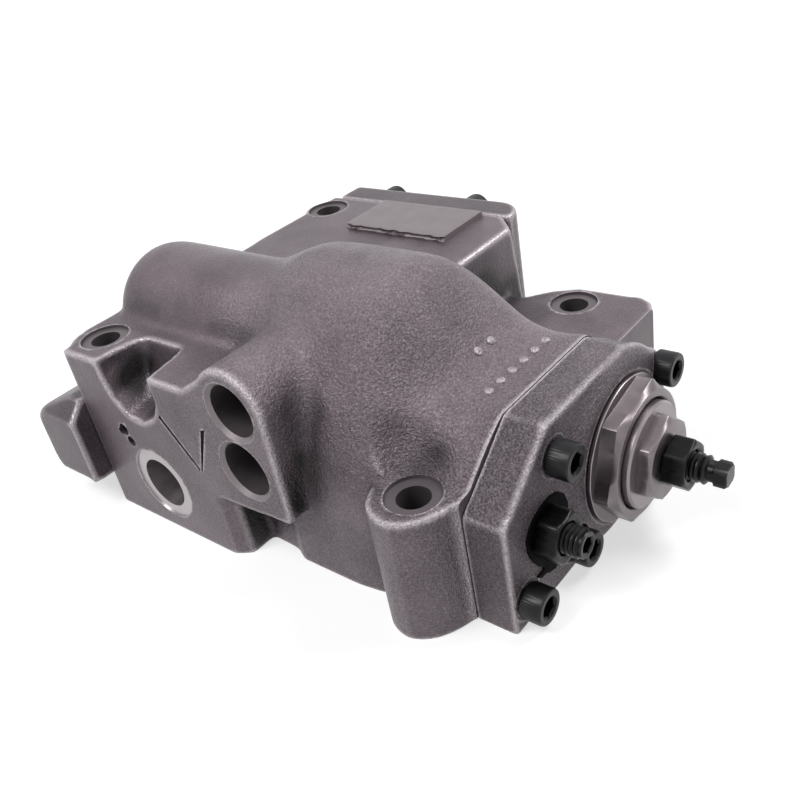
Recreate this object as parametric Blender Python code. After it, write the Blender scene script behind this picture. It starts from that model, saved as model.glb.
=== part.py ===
# Hydraulic pump regulator: cast casing, end covers, adjusters and the servo parts inside.
# Metres, +Z up. +X points along the bores to the adjusters, -Y to the port face.
# Places below are given from the casing: X from its left end, Y from its port face,
# Z from its mounting face. DATUM shifts them all to the model's origin, which lies on
# the mounting face midway between the two left mounting screws.

import bmesh
import bpy
from math import cos, pi, radians, sin, sqrt, tan
from mathutils import Matrix, Vector

# Fits
GAP = 0.0003                # between pieces that touch
RUN = 0.0003                # running clearance on a radius
CUT = 0.002                 # how far a cutter runs past the face it opens
ROUND = 24                  # sides of a bore or a turned piece
SMALL_ROUND = 16            # sides of a screw or a pin
SPARE = 0.0500              # how far a trimming block runs past the casting

# Casing body
CASING_LENGTH = 0.135       # left end to the adjuster cover's seam
DECK_Z = 0.058              # height of the flat deck
END_TOP_Z = 0.050           # height of the casing at the adjuster end
PAD_END_X = 0.063           # right end of the port pad's foot
PAD_CORNER = 0.006          # corner cut there
BLOCK_BACK_Y = 0.1265       # back face of the rear block
BLOCK_TOP_X = CASING_LENGTH - 0.0495   # right edge of the rear block at the deck
BLOCK_DRAFT = 0.0050        # how much further right its foot stands
BLOCK_FRONT_Y = 0.050       # where the rear block starts inside the casing
BLOCK_CORNER = 0.008        # corner cut on the rear block
LEDGE_X = -0.005            # how far the upper left side stands out
LEDGE_Z = 0.0415            # underside of that ledge
LEDGE_BACK_Y = 0.066        # back end of the ledge
LEDGE_ROOT_X = 0.010        # how far it reaches into the casing
LEDGE_FRONT = 0.006         # slant of its front edge
LEDGE_LAP = 0.004
WAIST_FRONT_Y = 0.0085      # front wall between the port pad and the right lug
END_FRONT_Y = 0.0155        # front wall at the adjuster end
END_SHOULDER_Z = 0.034      # where the end's front chamfer starts
END_SHOULDER_Y = 0.036      # where that chamfer ends on the top
END_RIDGE_Y = 0.0760        # back edge of the end's flat top
END_BACK_Y = 0.0830         # back wall at the adjuster end
END_BACK_Z = 0.0400         # top of that back wall

# Lever plane and the chamber round it
LEVER_X = CASING_LENGTH - 0.0390       # the plane that holds the lever axes at rest
CHAMBER_WIDTH = 0.0220
CHAMBER_LEFT_X = LEVER_X - CHAMBER_WIDTH / 2
CHAMBER_RIGHT_X = LEVER_X + CHAMBER_WIDTH / 2

# Servo barrel and hump
BARREL_Y = 0.043
BARREL_Z = 0.0535
BARREL_R = 0.0205
BARREL_LEFT_X = -0.005
BARREL_ROUND = 0.008        # edge round on the barrel's end
BARREL_RIGHT_X = CHAMBER_LEFT_X
HUMP_TOP_Z = 0.078
HUMP_CREST_Y = 0.050
HUMP_BACK_Y = 0.078
HUMP_BACK_Z = 0.050
HUMP_SHOULDER_Z = 0.026     # top of the straight front wall under the hump
HUMP_RIDGE = 0.002          # width of the flat along its top
HUMP_FLAT = (0.057, 0.036)  # stretch at full height, measured back from the seam
# Swelling sections: back from the seam, then in from the front wall, up at the shoulder,
# forward at the crest, down from the top, in from the back wall
HUMP_SWELL = ((0.089, 0.0175, 0.0040, 0.0020, 0.0090, 0.0080),
              (0.080, 0.0095, 0.0020, 0.0010, 0.0040, 0.0030),
              (0.072, 0.0030, 0, 0, 0.0008, 0),
              (0.062, 0.0025, 0, 0, 0, 0))
# Falling sections: back from the seam, share of the way to the end's outline, share of the drop
HUMP_FALL = ((0.030, 0.10, 0.14), (0.024, 0.25, 0.45), (0.018, 0.50, 0.80), (0.011, 0.80, 0.97))
END_BULGE = 1.15            # 2 is a quarter ellipse, 1 a straight slope

# Lugs and mounting holes, for M8 screws
MOUNT_HOLE_R = 0.0045
SPOTFACE_R = 0.0075
SPOTFACE_DEPTH = 0.0010
SPOTFACE_REACH = 0.0160     # how high the spotface cutter clears the casting
LUG_TOP_Z = 0.038           # top of the two lugs at the adjuster end
MOUNT_A = (0.0069, 0.0115)
MOUNT_B = (0.0061, 0.1155)
MOUNT_C = (CASING_LENGTH - 0.0243, 0.1125)
MOUNT_D = (CASING_LENGTH - 0.0118, 0.0121)
LUG_A_R = 0.0113
LUG_A_FOOT_Z = 0.0300
LUG_B_R = 0.0090
LUG_D_R = 0.0120
LUG_D_ROOT_Y = 0.0300       # how far the lug reaches into the casing
FLANGE_BACK_Y = 0.1230
FLANGE_ROOT = (0.0510, 0.0600)         # back from the seam, and Y
# Flange outline: back from the seam, in from its back edge
FLANGE_OUTLINE = ((0.047, 0.0130), (0.041, 0.0105), (0.035, 0.0050), (0.028, 0.0010), (0.020, 0.0005),
                  (0.006, 0), (0.002, 0.0020), (0, 0.0060))

# Ports on the front face
BOSS_RIGHT_X = CASING_LENGTH - 0.0462
BOSS_WIDTH = 0.0318
BOSS_FOOT_CUT = 0.0040
BOSS_BOTTOM_Z = 0.0215
BOSS_DEPTH = 0.030
BOSS_TOP_R = 0.0125
PORT_1 = (CASING_LENGTH - 0.0585, 0.0560)
PORT_2 = (CASING_LENGTH - 0.0600, 0.0370)
PORT_3 = (0.0305, 0.0172)
PORT_1_R = 0.0078
PORT_2_R = 0.0083
PORT_3_R = 0.0085
PORT_3_FACE_R = 0.0122
PORT_3_FACE_DEPTH = 0.0005
PORT_DEPTH = 0.0200
PORT_3_DRILLING_DROP = 0.0010
DRILLING_R = 0.0025
VENT = (0.0197, 0.0326)
VENT_R = 0.0038
VENT_DEPTH = 0.010

# Front pocket: outline on the deck (x, y), on the port face (x, depth), floor (x, y, depth)
POCKET_TOP = ((0.0170, -CUT), (0.0180, 0.0120), (0.0195, 0.0155), (0.0230, 0.0176), (0.0382, 0.0176),
              (0.0424, -CUT))
POCKET_FACE = ((0.0177, 0.0080), (0.0430, 0.0090), (0.0194, 0.0130), (0.0395, 0.0145), (0.0242, 0.0180),
               (0.0313, 0.0187))
POCKET_FLOOR = ((0.0215, 0.0130, 0.0100), (0.0360, 0.0130, 0.0100), (0.0260, 0.0085, 0.0150),
                (0.0330, 0.0085, 0.0150))

# Nameplate pad on the deck, bare
PAD_X = (0.0270, BLOCK_TOP_X - 0.0150)
PAD_Y = (0.1025, 0.1250)
PAD_HEIGHT = 0.0017
PAD_ROOT = 0.002            # how deep the pad reaches into the deck

# Bore lines, each along X
COMP_Y = 0.070
PILOT_Y = 0.031
LINE_Z = 0.0215
COMP_CASE_BORE_R = 0.0113
COMP_GUIDE_R = 0.0060
COMP_GUIDE_LENGTH = 0.0250
COMP_CASE_BORE_END_X = CHAMBER_LEFT_X - COMP_GUIDE_LENGTH
SPRING_CHAMBER_R = 0.0163
PILOT_BORE_R = 0.0075
SLEEVE_BORE_R = 0.0083
PLUG_BORE_R = 0.0103
PLUG_BORE_END_X = 0.008

# Lever chamber
CHAMBER_Y = (0.026, 0.0735)
CHAMBER_TOP_Z = 0.060       # over the spool
CHAMBER_STEP_Z = 0.051      # over the compensator lever
CHAMBER_STEP_Y = (0.052, 0.060)
CHAMBER_FOOT_Y = 0.0765     # wider round the compensator rod
CHAMBER_FOOT_Z = 0.0285
CHAMBER_FOOT_SLOPE = 0.0020
FULCRUM_R = 0.0060
FULCRUM_LENGTH = 0.0038
FULCRUM_SOCKET_FLATS = 0.0060
FULCRUM_SOCKET_DEPTH = 0.0022
PIVOT_ROOT = 0.0050         # how deep the pilot lever's pivot sits in the wall
LEVER_THICKNESS = 0.004
LEVER_END_R = 0.0040
LEVER_NECK_R = 0.0022
LEVER_NECK_SINK = 0.0005    # how deep the neck's foot sits in the rod
COMP_LEVER_R = 0.0038       # round the compensator pin
PILOT_LEVER_R = 0.0034      # round the pilot pin
PILOT_LEVER_RISE = 0.0010   # that round lies higher than its pin
FEEDBACK_PILOT_R = 0.0060
FEEDBACK_PILOT_DROP = 0.0020
FEEDBACK_COMP_R = 0.0070
FEEDBACK_NECK = 0.0090      # length of the slim end under the spool pin
FEEDBACK_TIP_R = 0.0034
TIP_R = 0.0030              # lever tip in its rod
TIP_SLOT_WIDTH = 0.0046
PIVOT_Z = 0.046             # upper pivots of both small levers
COMP_PIN_Z = 0.034
PILOT_PIN_Z = 0.029
FEEDBACK_PIVOT_Z = 0.005
LINK_HOLE_R = 0.0020
CROSS_PIN_R = 0.0015
PIVOT_PIN_R = 0.0020
PIN_OVERHANG = 0.0010       # how far a pin stands out of its lever
COMP_PIN_PLAY = 0.0022      # free travel of the compensator pin in the feedback lever

# Adjuster cover
COVER_THICKNESS = 0.0117
COVER_EDGE = 0.0010
COVER_BACK_Y = 0.0995
COVER_BACK_DROP = 0.0170    # from the casing's end top down to the cover's back edge
COVER_SLOPE = ((0.0115, 0.0070), (0.0045, 0.0115))   # in from the back edge, down from the top
COVER_FOOT_CUT = 0.0040
COVER_BOSS_FOOT_R = 0.0240
COVER_BOSS_TOP_R = 0.0212
COVER_BOSS_HEIGHT = 0.0015
COVER_SCREWS = ((END_FRONT_Y + 0.0050, 0.0072), (0.0435, 0.0075), (0.0380, END_TOP_Z - 0.0105),
                (COVER_BACK_Y - 0.0057, 0.0335), (COVER_BACK_Y - 0.0057, 0.0085))

# Pilot cover on the left end
PILOT_COVER_THICKNESS = 0.0220
PILOT_COVER_Y = (-0.0065, 0.0970)
PILOT_COVER_Z = (0.0065, 0.0400)
PILOT_COVER_ROUND = 0.0100
PILOT_COVER_TOP = ((-0.0070, 0.0400), (-0.0190, 0.0355), (-0.0223, 0.0315))
PILOT_COVER_FRONT_Z = 0.0105
PILOT_TOE = (0.0030, 0.0010)           # slant under its front end, back and up
PILOT_HEEL_Y = (0.0060, 0.0140)        # slope from the raised front to the full depth
PILOT_BROW = (0.0010, 0.0318)          # where the top front edge is cut: Y on top, Z in front
UNDERCUT_SPARE = 0.0030     # past the cover's back end
PILOT_COVER_SCREWS = ((0.0203, 0.0305), (0.0490, 0.0150), (0.0490, 0.0330), (0.0905, 0.0250))
PILOT_COVER_SINK = 0.0066

# Rear cover
REAR_COVER_THICKNESS = 0.0117
REAR_COVER_X = (0.0020, BLOCK_TOP_X - 0.0055)
REAR_COVER_FLAT = 0.0010    # what the end's round leaves of the cover's thickness
REAR_COVER_Z = (0.0080, 0.0580)
REAR_COVER_SCREWS = ((0.0165, 0.0520), (BLOCK_TOP_X - 0.0310, 0.0520), (0.0165, 0.0140),
                     (BLOCK_TOP_X - 0.0195, 0.0140))

# Socket cap screws, M6
CAP_HEAD_R = 0.0050
CAP_HEAD_HEIGHT = 0.0060
CAP_SHANK_R = 0.0030
CAP_SOCKET_FLATS = 0.0050
CAP_SOCKET_DEPTH = 0.0030
CAP_CHAMFER = 0.0004
CAP_THREAD_IN_CASING = 0.0100
CAP_HOLE_SPARE = 0.0020     # how much deeper the hole is than the screw
HEAD_ROOM = 0.0006          # round a head that sits beside a boss

# Compensator adjuster
BIG_NUT_FLATS = 0.0360
BIG_NUT_COLLAR_R = 0.0210
BIG_NUT_COLLAR = 0.0010
BIG_NUT_HEIGHT = 0.0058
BIG_THREAD_R = 0.0150
BIG_THREAD_CHAMFER = 0.0008
NUT_BEVEL = 30.0            # degrees, of the cone that turns off a nut's corners
ADJUSTER_RIM = 0.0018       # how far the adjusting screw stands out of the nut
ADJUSTER_HEX_FLATS = 0.0220
ADJUSTER_HEX_HEIGHT = 0.0042
ADJUSTER_POCKET_R = 0.0118
ADJUSTER_POCKET_DEPTH = 0.0160
STEM_R = 0.0040
STEM_SEAT_R = 0.0112
STEM_SEAT_THICKNESS = 0.0030
SMALL_NUT_FLATS = 0.0130
SMALL_NUT_HEIGHT = 0.0065
STEM_THREAD_OUT = 0.0040    # thread showing past the small nut
STEM_TIP_LENGTH = 0.0055
STEM_TIP_FLATS = 0.0052

# Flow adjuster
FLOW_STUB_OUT = 0.0050      # set screw showing past its nut
FLOW_CHAMFER = 0.0005
FLOW_SOCKET_FLATS = 0.0040
FLOW_SOCKET_DEPTH = 0.0030

# Compensator line
CASE_LEFT_X = 0.0030
CASE_END_X = COMP_CASE_BORE_END_X - 0.0110
CASE_WALL_R = 0.0110
CASE_BORE_R = 0.0053
PISTON_LEFT_X = 0.0080
PISTON_STEP_X = CASE_END_X - 0.0050
PISTON_R = 0.0050
PISTON_NOSE_R = 0.0035
PISTON_RIGHT_X = COMP_CASE_BORE_END_X - 0.0020
ROD_R = 0.0055
SEAT_FACE_X = CHAMBER_RIGHT_X + 0.0015   # left face of both spring seats
SEAT_THICKNESS = 0.0040
COMP_SEAT_R = 0.0155
COMP_SPIGOT_LENGTH = 0.0030
COMP_SPIGOT_PLAY = 0.0019   # between the seat's spigot and the inner spring
OUTER_SPRING_R = 0.0130
OUTER_WIRE = 0.0030
OUTER_TURNS = 5
INNER_SPRING_R = 0.0085
INNER_WIRE = 0.0022
INNER_TURNS = 7

# Pilot line
PILOT_PISTON_LEFT_X = 0.0080
PILOT_PISTON_STEP_X = CHAMBER_LEFT_X - 0.0070
PILOT_ROD_R = 0.0055
PILOT_SPRING_R = 0.0055
PILOT_WIRE = 0.0016
PILOT_TURNS = 6
PILOT_SPIGOT_LENGTH = 0.0020
PILOT_SPIGOT_PLAY = 0.0012
PILOT_STEM_LENGTH = 0.0050

# Servo line
PLUG_HEAD_R = 0.0100
PLUG_SOCKET_FLATS = 0.0080
PLUG_SOCKET_DEPTH = 0.0060
SLEEVE_LEFT_X = 0.0380
SLEEVE_RIGHT_X = CHAMBER_LEFT_X - 0.0050   # where the snap ring stops the sleeve
SLEEVE_RING_WIDTH = 0.0012
SLEEVE_RING_IN = 0.0012     # how far the ring stands into the bore
SLEEVE_RING_GROOVE = 0.0008
SPOOL_R = 0.0045
SPOOL_NECK_R = 0.0034
SPOOL_LEFT_X = 0.0240
SPOOL_RIGHT_X = LEVER_X + 0.0050
SPOOL_NECKS = ((0.0080, 0.0140), (0.0220, 0.0280))   # from the sleeve's left end
FORK_REACH = 0.0055         # how far the spool's fork reaches back past the lever plane
SPOOL_SEAT_THICKNESS = 0.0030
RETURN_SPRING_R = 0.0037
RETURN_WIRE = 0.0012
RETURN_TURNS = 6
SET_SPRING_R = 0.0068
SET_WIRE = 0.0014
SET_TURNS = 7

# Seals
SEAL_WIRE_R = 0.0009
COMP_SEAL_R = 0.0185
PILOT_SEAL_R = 0.0089
CASE_SEAL_R = 0.0130
PASSAGE_R = 0.0030
PASSAGE_SEAL_R = 0.0050
PASSAGE_1 = (0.0450, 0.0700)
PASSAGE_2 = (0.0550, 0.0310)

# Shuttle check valve behind the rear cover
CHECK_X = 0.0400
CHECK_Z = 0.0330
CHECK_BORE_R = 0.0050
CHECK_SEAT_Y = 0.1000       # back face of the valve seat
CHECK_SEAT_THICKNESS = 0.0040
CHECK_SEAT_HOLE_R = 0.0015
CHECK_BALL_R = 0.0035
CHECK_TRAVEL = 0.0015
STOPPER_NOSE_R = 0.0025
STOPPER_NOSE_LENGTH = 0.0040

# Worked-out places
SEAL_SINK = 2 * SEAL_WIRE_R + GAP
BLOCK_FOOT_X = BLOCK_TOP_X + BLOCK_DRAFT
DATUM = Vector(((MOUNT_A[0] + MOUNT_B[0]) / 2, (MOUNT_A[1] + MOUNT_B[1]) / 2, 0))
COVER_LEFT_X = CASING_LENGTH + GAP
COVER_FACE_X = COVER_LEFT_X + COVER_THICKNESS
BOSS_FACE_X = COVER_FACE_X + COVER_BOSS_HEIGHT
BIG_NUT_X = BOSS_FACE_X + GAP
BIG_NUT_END_X = BIG_NUT_X + BIG_NUT_COLLAR + BIG_NUT_HEIGHT
ADJUSTER_RIM_X = BIG_NUT_END_X + ADJUSTER_RIM
ADJUSTER_END_X = ADJUSTER_RIM_X + ADJUSTER_HEX_HEIGHT
SMALL_NUT_X = ADJUSTER_END_X + GAP
SMALL_NUT_END_X = SMALL_NUT_X + SMALL_NUT_HEIGHT
STEM_THREAD_END_X = SMALL_NUT_END_X + STEM_THREAD_OUT
STEM_END_X = STEM_THREAD_END_X + STEM_TIP_LENGTH
ADJUSTER_LEFT_X = CASING_LENGTH - 0.0020
STEM_SEAT_X = ADJUSTER_LEFT_X + ADJUSTER_POCKET_DEPTH - STEM_SEAT_THICKNESS - GAP
FLOW_NUT_X = COVER_FACE_X + GAP
FLOW_NUT_END_X = FLOW_NUT_X + SMALL_NUT_HEIGHT
FLOW_END_X = FLOW_NUT_END_X + FLOW_STUB_OUT
PILOT_STEM_X = CASING_LENGTH - PILOT_STEM_LENGTH - GAP
SEAT_END_X = SEAT_FACE_X + SEAT_THICKNESS
REAR_COVER_Y = BLOCK_BACK_Y + GAP
REAR_COVER_FACE_Y = REAR_COVER_Y + REAR_COVER_THICKNESS
FULCRUM_Y = CHAMBER_Y[1] + FULCRUM_LENGTH


def remove_scene_objects():
    for item in list(bpy.data.objects):
        bpy.data.objects.remove(item, do_unlink=True)


def make_material(name, colour, roughness, metallic):
    material = bpy.data.materials.new(name)
    material.use_nodes = True
    shader = material.node_tree.nodes["Principled BSDF"]
    shader.inputs["Base Color"].default_value = (*colour, 1)
    shader.inputs["Roughness"].default_value = roughness
    shader.inputs["Metallic"].default_value = metallic
    return material


FINISHES = {
    "cast": ((0.20, 0.18, 0.19), 0.45, 0.6),
    "zinc": ((0.52, 0.49, 0.50), 0.30, 1.0),
    "black": ((0.012, 0.012, 0.014), 0.35, 0.6),
    "steel": ((0.40, 0.40, 0.41), 0.28, 1.0),
    "spring": ((0.10, 0.10, 0.11), 0.35, 1.0),
    "rubber": ((0.01, 0.01, 0.01), 0.60, 0.0),
}


# Places an object by a point of the casing, and gives it its finish
def finish(item, place, look, smooth=True):
    item.location = Vector(place) - DATUM
    colour, roughness, metallic = FINISHES[look]
    item.data.materials.append(make_material(item.name + "_finish", colour, roughness, metallic))
    if smooth and item.type == "MESH":
        item.data.shade_smooth()
        item.data.set_sharp_from_angle(angle=radians(35))
    return item


def new_object(name, shape):
    mesh = bpy.data.meshes.new(name)
    bmesh.ops.recalc_face_normals(shape, faces=shape.faces)
    shape.to_mesh(mesh)
    shape.free()
    item = bpy.data.objects.new(name, mesh)
    bpy.context.scene.collection.objects.link(item)
    return item


# Turned piece about X: rows of (x, radius), each row a ring, closed on the axis at both ends
def turned(name, rows, sides=ROUND):
    shape = bmesh.new()
    rings = []
    for x, radius in rows:
        ring = [shape.verts.new((x, radius * cos(2 * pi * i / sides), radius * sin(2 * pi * i / sides)))
                for i in range(sides)]
        rings.append(ring)
    for left, right in zip(rings, rings[1:]):
        for i in range(sides):
            j = (i + 1) % sides
            shape.faces.new((left[i], right[i], right[j], left[j]))
    shape.faces.new(rings[0])
    shape.faces.new(list(reversed(rings[-1])))
    return new_object(name, shape)


# Turned ring about X: a closed loop of (x, radius) rows that never meets the axis
def turned_ring(name, rows, sides=ROUND):
    shape = bmesh.new()
    loop = [shape.verts.new((x, radius, 0)) for x, radius in rows]
    edges = [shape.edges.new((loop[i], loop[(i + 1) % len(loop)])) for i in range(len(loop))]
    bmesh.ops.spin(shape, geom=loop + edges, cent=(0, 0, 0), axis=(1, 0, 0), angle=2 * pi,
                   steps=sides, use_merge=True, use_duplicate=False)
    bmesh.ops.remove_doubles(shape, verts=shape.verts, dist=1e-6)
    return new_object(name, shape)


# Extruded outline: points in the plane across the axis, swept from start to end along it
def prism(name, outline, start, end, axis="X"):
    shape = bmesh.new()
    to_space = {
        "X": lambda a, b, t: (t, a, b),
        "Y": lambda a, b, t: (a, t, b),
        "Z": lambda a, b, t: (a, b, t),
    }[axis]
    base = shape.faces.new([shape.verts.new(to_space(a, b, start)) for a, b in outline])
    grown = bmesh.ops.extrude_face_region(shape, geom=[base])
    moved = [v for v in grown["geom"] if isinstance(v, bmesh.types.BMVert)]
    bmesh.ops.translate(shape, verts=moved, vec=Vector(to_space(0, 0, end)) - Vector(to_space(0, 0, start)))
    return new_object(name, shape)


def circle(a, b, radius, sides=ROUND, start=0.0, sweep=2 * pi):
    steps = sides if sweep >= 2 * pi - 1e-6 else sides + 1
    return [(a + radius * cos(start + sweep * i / sides), b + radius * sin(start + sweep * i / sides))
            for i in range(steps)]


def hexagon(flats, turn=0.0):
    return circle(0, 0, flats / sqrt(3), 6, turn)


def rectangle(low_a, high_a, low_b, high_b):
    return [(low_a, low_b), (high_a, low_b), (high_a, high_b), (low_a, high_b)]


# Hull of a cloud of points
def hull(name, points):
    shape = bmesh.new()
    for point in points:
        shape.verts.new(point)
    found = bmesh.ops.convex_hull(shape, input=shape.verts)
    inside = [v for v in found["geom_interior"] if isinstance(v, bmesh.types.BMVert)]
    bmesh.ops.delete(shape, geom=inside, context="VERTS")
    return new_object(name, shape)


# Body that runs through sections of equal length, each a loop of points
def loft(name, sections):
    shape = bmesh.new()
    loops = [[shape.verts.new(point) for point in section] for section in sections]
    count = len(loops[0])
    for left, right in zip(loops, loops[1:]):
        for i in range(count):
            j = (i + 1) % count
            shape.faces.new((left[i], left[j], right[j], right[i]))
    shape.faces.new(loops[0])
    shape.faces.new(list(reversed(loops[-1])))
    bmesh.ops.triangulate(shape, faces=[f for f in shape.faces if len(f.verts) > 4])
    return new_object(name, shape)


# Adds or cuts one body with another; the other stays as a hidden guide
def combine(item, other, operation, place=(0, 0, 0)):
    other.location = Vector(place)
    other.parent = item
    other.hide_render = True
    other.display_type = "WIRE"
    modifier = item.modifiers.new(operation.lower() + "_" + other.name, "BOOLEAN")
    modifier.operation = operation
    modifier.solver = "EXACT"
    modifier.object = other


def cut(item, other, place=(0, 0, 0)):
    combine(item, other, "DIFFERENCE", place)


def add(item, other, place=(0, 0, 0)):
    combine(item, other, "UNION", place)


def drill(item, name, axis, centre, start, end, radius, sides=ROUND):
    cut(item, prism(name, circle(*centre, radius, sides), start, end, axis))


# Coil along X between two flat ends, with closed end turns
def spring(name, x_start, x_end, radius, wire, turns, y, z, steps=12):
    curve = bpy.data.curves.new(name, "CURVE")
    curve.dimensions = "3D"
    curve.bevel_depth = wire / 2
    curve.bevel_resolution = 1
    curve.use_fill_caps = True
    length = x_end - x_start - wire - 2 * GAP
    dead = 1.2 * wire
    pitch = (length - 2 * dead) / (turns - 2)
    count = turns * steps
    line = curve.splines.new("POLY")
    line.points.add(count)
    for i in range(count + 1):
        turn = i / steps
        if turn <= 1:
            x = dead * turn
        elif turn >= turns - 1:
            x = length - dead * (turns - turn)
        else:
            x = dead + pitch * (turn - 1)
        angle = 2 * pi * turn
        line.points[i].co = (x, radius * cos(angle), radius * sin(angle), 1)
    item = bpy.data.objects.new(name, curve)
    bpy.context.scene.collection.objects.link(item)
    item.location = Vector((x_start + wire / 2 + GAP, y, z)) - DATUM
    item.data.materials.append(make_material(name + "_finish", *FINISHES["spring"]))
    return item


# Ring seal that lies round an axis
def seal(name, place, radius, axis="X"):
    bpy.ops.mesh.primitive_torus_add(major_radius=radius, minor_radius=SEAL_WIRE_R,
                                     major_segments=24, minor_segments=8)
    item = bpy.context.object
    item.name = name
    item.data.name = name
    if axis == "X":
        item.data.transform(Matrix.Rotation(pi / 2, 4, "Y"))
    finish(item, place, "rubber")
    return item


# Socket cap screw: head towards +X, shank towards -X, origin under the head
def cap_screw(name, place, shank, direction="X"):
    rows = [(-shank, CAP_SHANK_R - CAP_CHAMFER), (-shank + CAP_CHAMFER, CAP_SHANK_R), (0, CAP_SHANK_R),
            (0, CAP_HEAD_R), (CAP_HEAD_HEIGHT - CAP_CHAMFER, CAP_HEAD_R),
            (CAP_HEAD_HEIGHT, CAP_HEAD_R - CAP_CHAMFER)]
    item = turned(name, rows, SMALL_ROUND)
    cut(item, prism(name + "_socket", hexagon(CAP_SOCKET_FLATS),
                    CAP_HEAD_HEIGHT - CAP_SOCKET_DEPTH, CAP_HEAD_HEIGHT + CUT))
    item.rotation_euler = {"X": (0, 0, 0), "-X": (0, 0, pi), "Y": (0, 0, pi / 2)}[direction]
    finish(item, place, "black")
    return item


def casing_section(x, front, shoulder, crest_y, top, ridge_y, back_y, back_z, bulge=2.0):
    points = [(x, front, 0), (x, front, shoulder)]
    for i in range(1, 9):
        t = i / 8 * pi / 2
        points.append((x, crest_y - (crest_y - front) * cos(t) ** (2 / bulge),
                       shoulder + (top - shoulder) * sin(t) ** (2 / bulge)))
    for i in range(0, 6):
        t = pi / 2 * (1 - i / 5)
        points.append((x, ridge_y + (back_y - ridge_y) * cos(t), back_z + (top - back_z) * sin(t)))
    points.append((x, back_y, 0))
    return points


def hump_sections():
    middle = (WAIST_FRONT_Y, HUMP_SHOULDER_Z, HUMP_CREST_Y, HUMP_TOP_Z, HUMP_CREST_Y + HUMP_RIDGE,
              HUMP_BACK_Y, HUMP_BACK_Z)
    end = (END_FRONT_Y, END_SHOULDER_Z, END_SHOULDER_Y, END_TOP_Z, END_RIDGE_Y, END_BACK_Y, END_BACK_Z)
    sections = []
    for back, front, shoulder, crest, drop, behind in HUMP_SWELL:
        sections.append(casing_section(CASING_LENGTH - back, WAIST_FRONT_Y + front,
                                       HUMP_SHOULDER_Z + shoulder,
                                       HUMP_CREST_Y - crest, HUMP_TOP_Z - drop, HUMP_CREST_Y + HUMP_RIDGE,
                                       HUMP_BACK_Y - behind, HUMP_BACK_Z))
    for back in HUMP_FLAT:
        sections.append(casing_section(CASING_LENGTH - back, *middle))
    for back, share, drop in HUMP_FALL:
        values = [a + (b - a) * share for a, b in zip(middle, end)]
        values[3] = HUMP_TOP_Z + (END_TOP_Z - HUMP_TOP_Z) * drop
        sections.append(casing_section(CASING_LENGTH - back, *values))
    sections.append(casing_section(CASING_LENGTH, *end, bulge=END_BULGE))
    return sections


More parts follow.
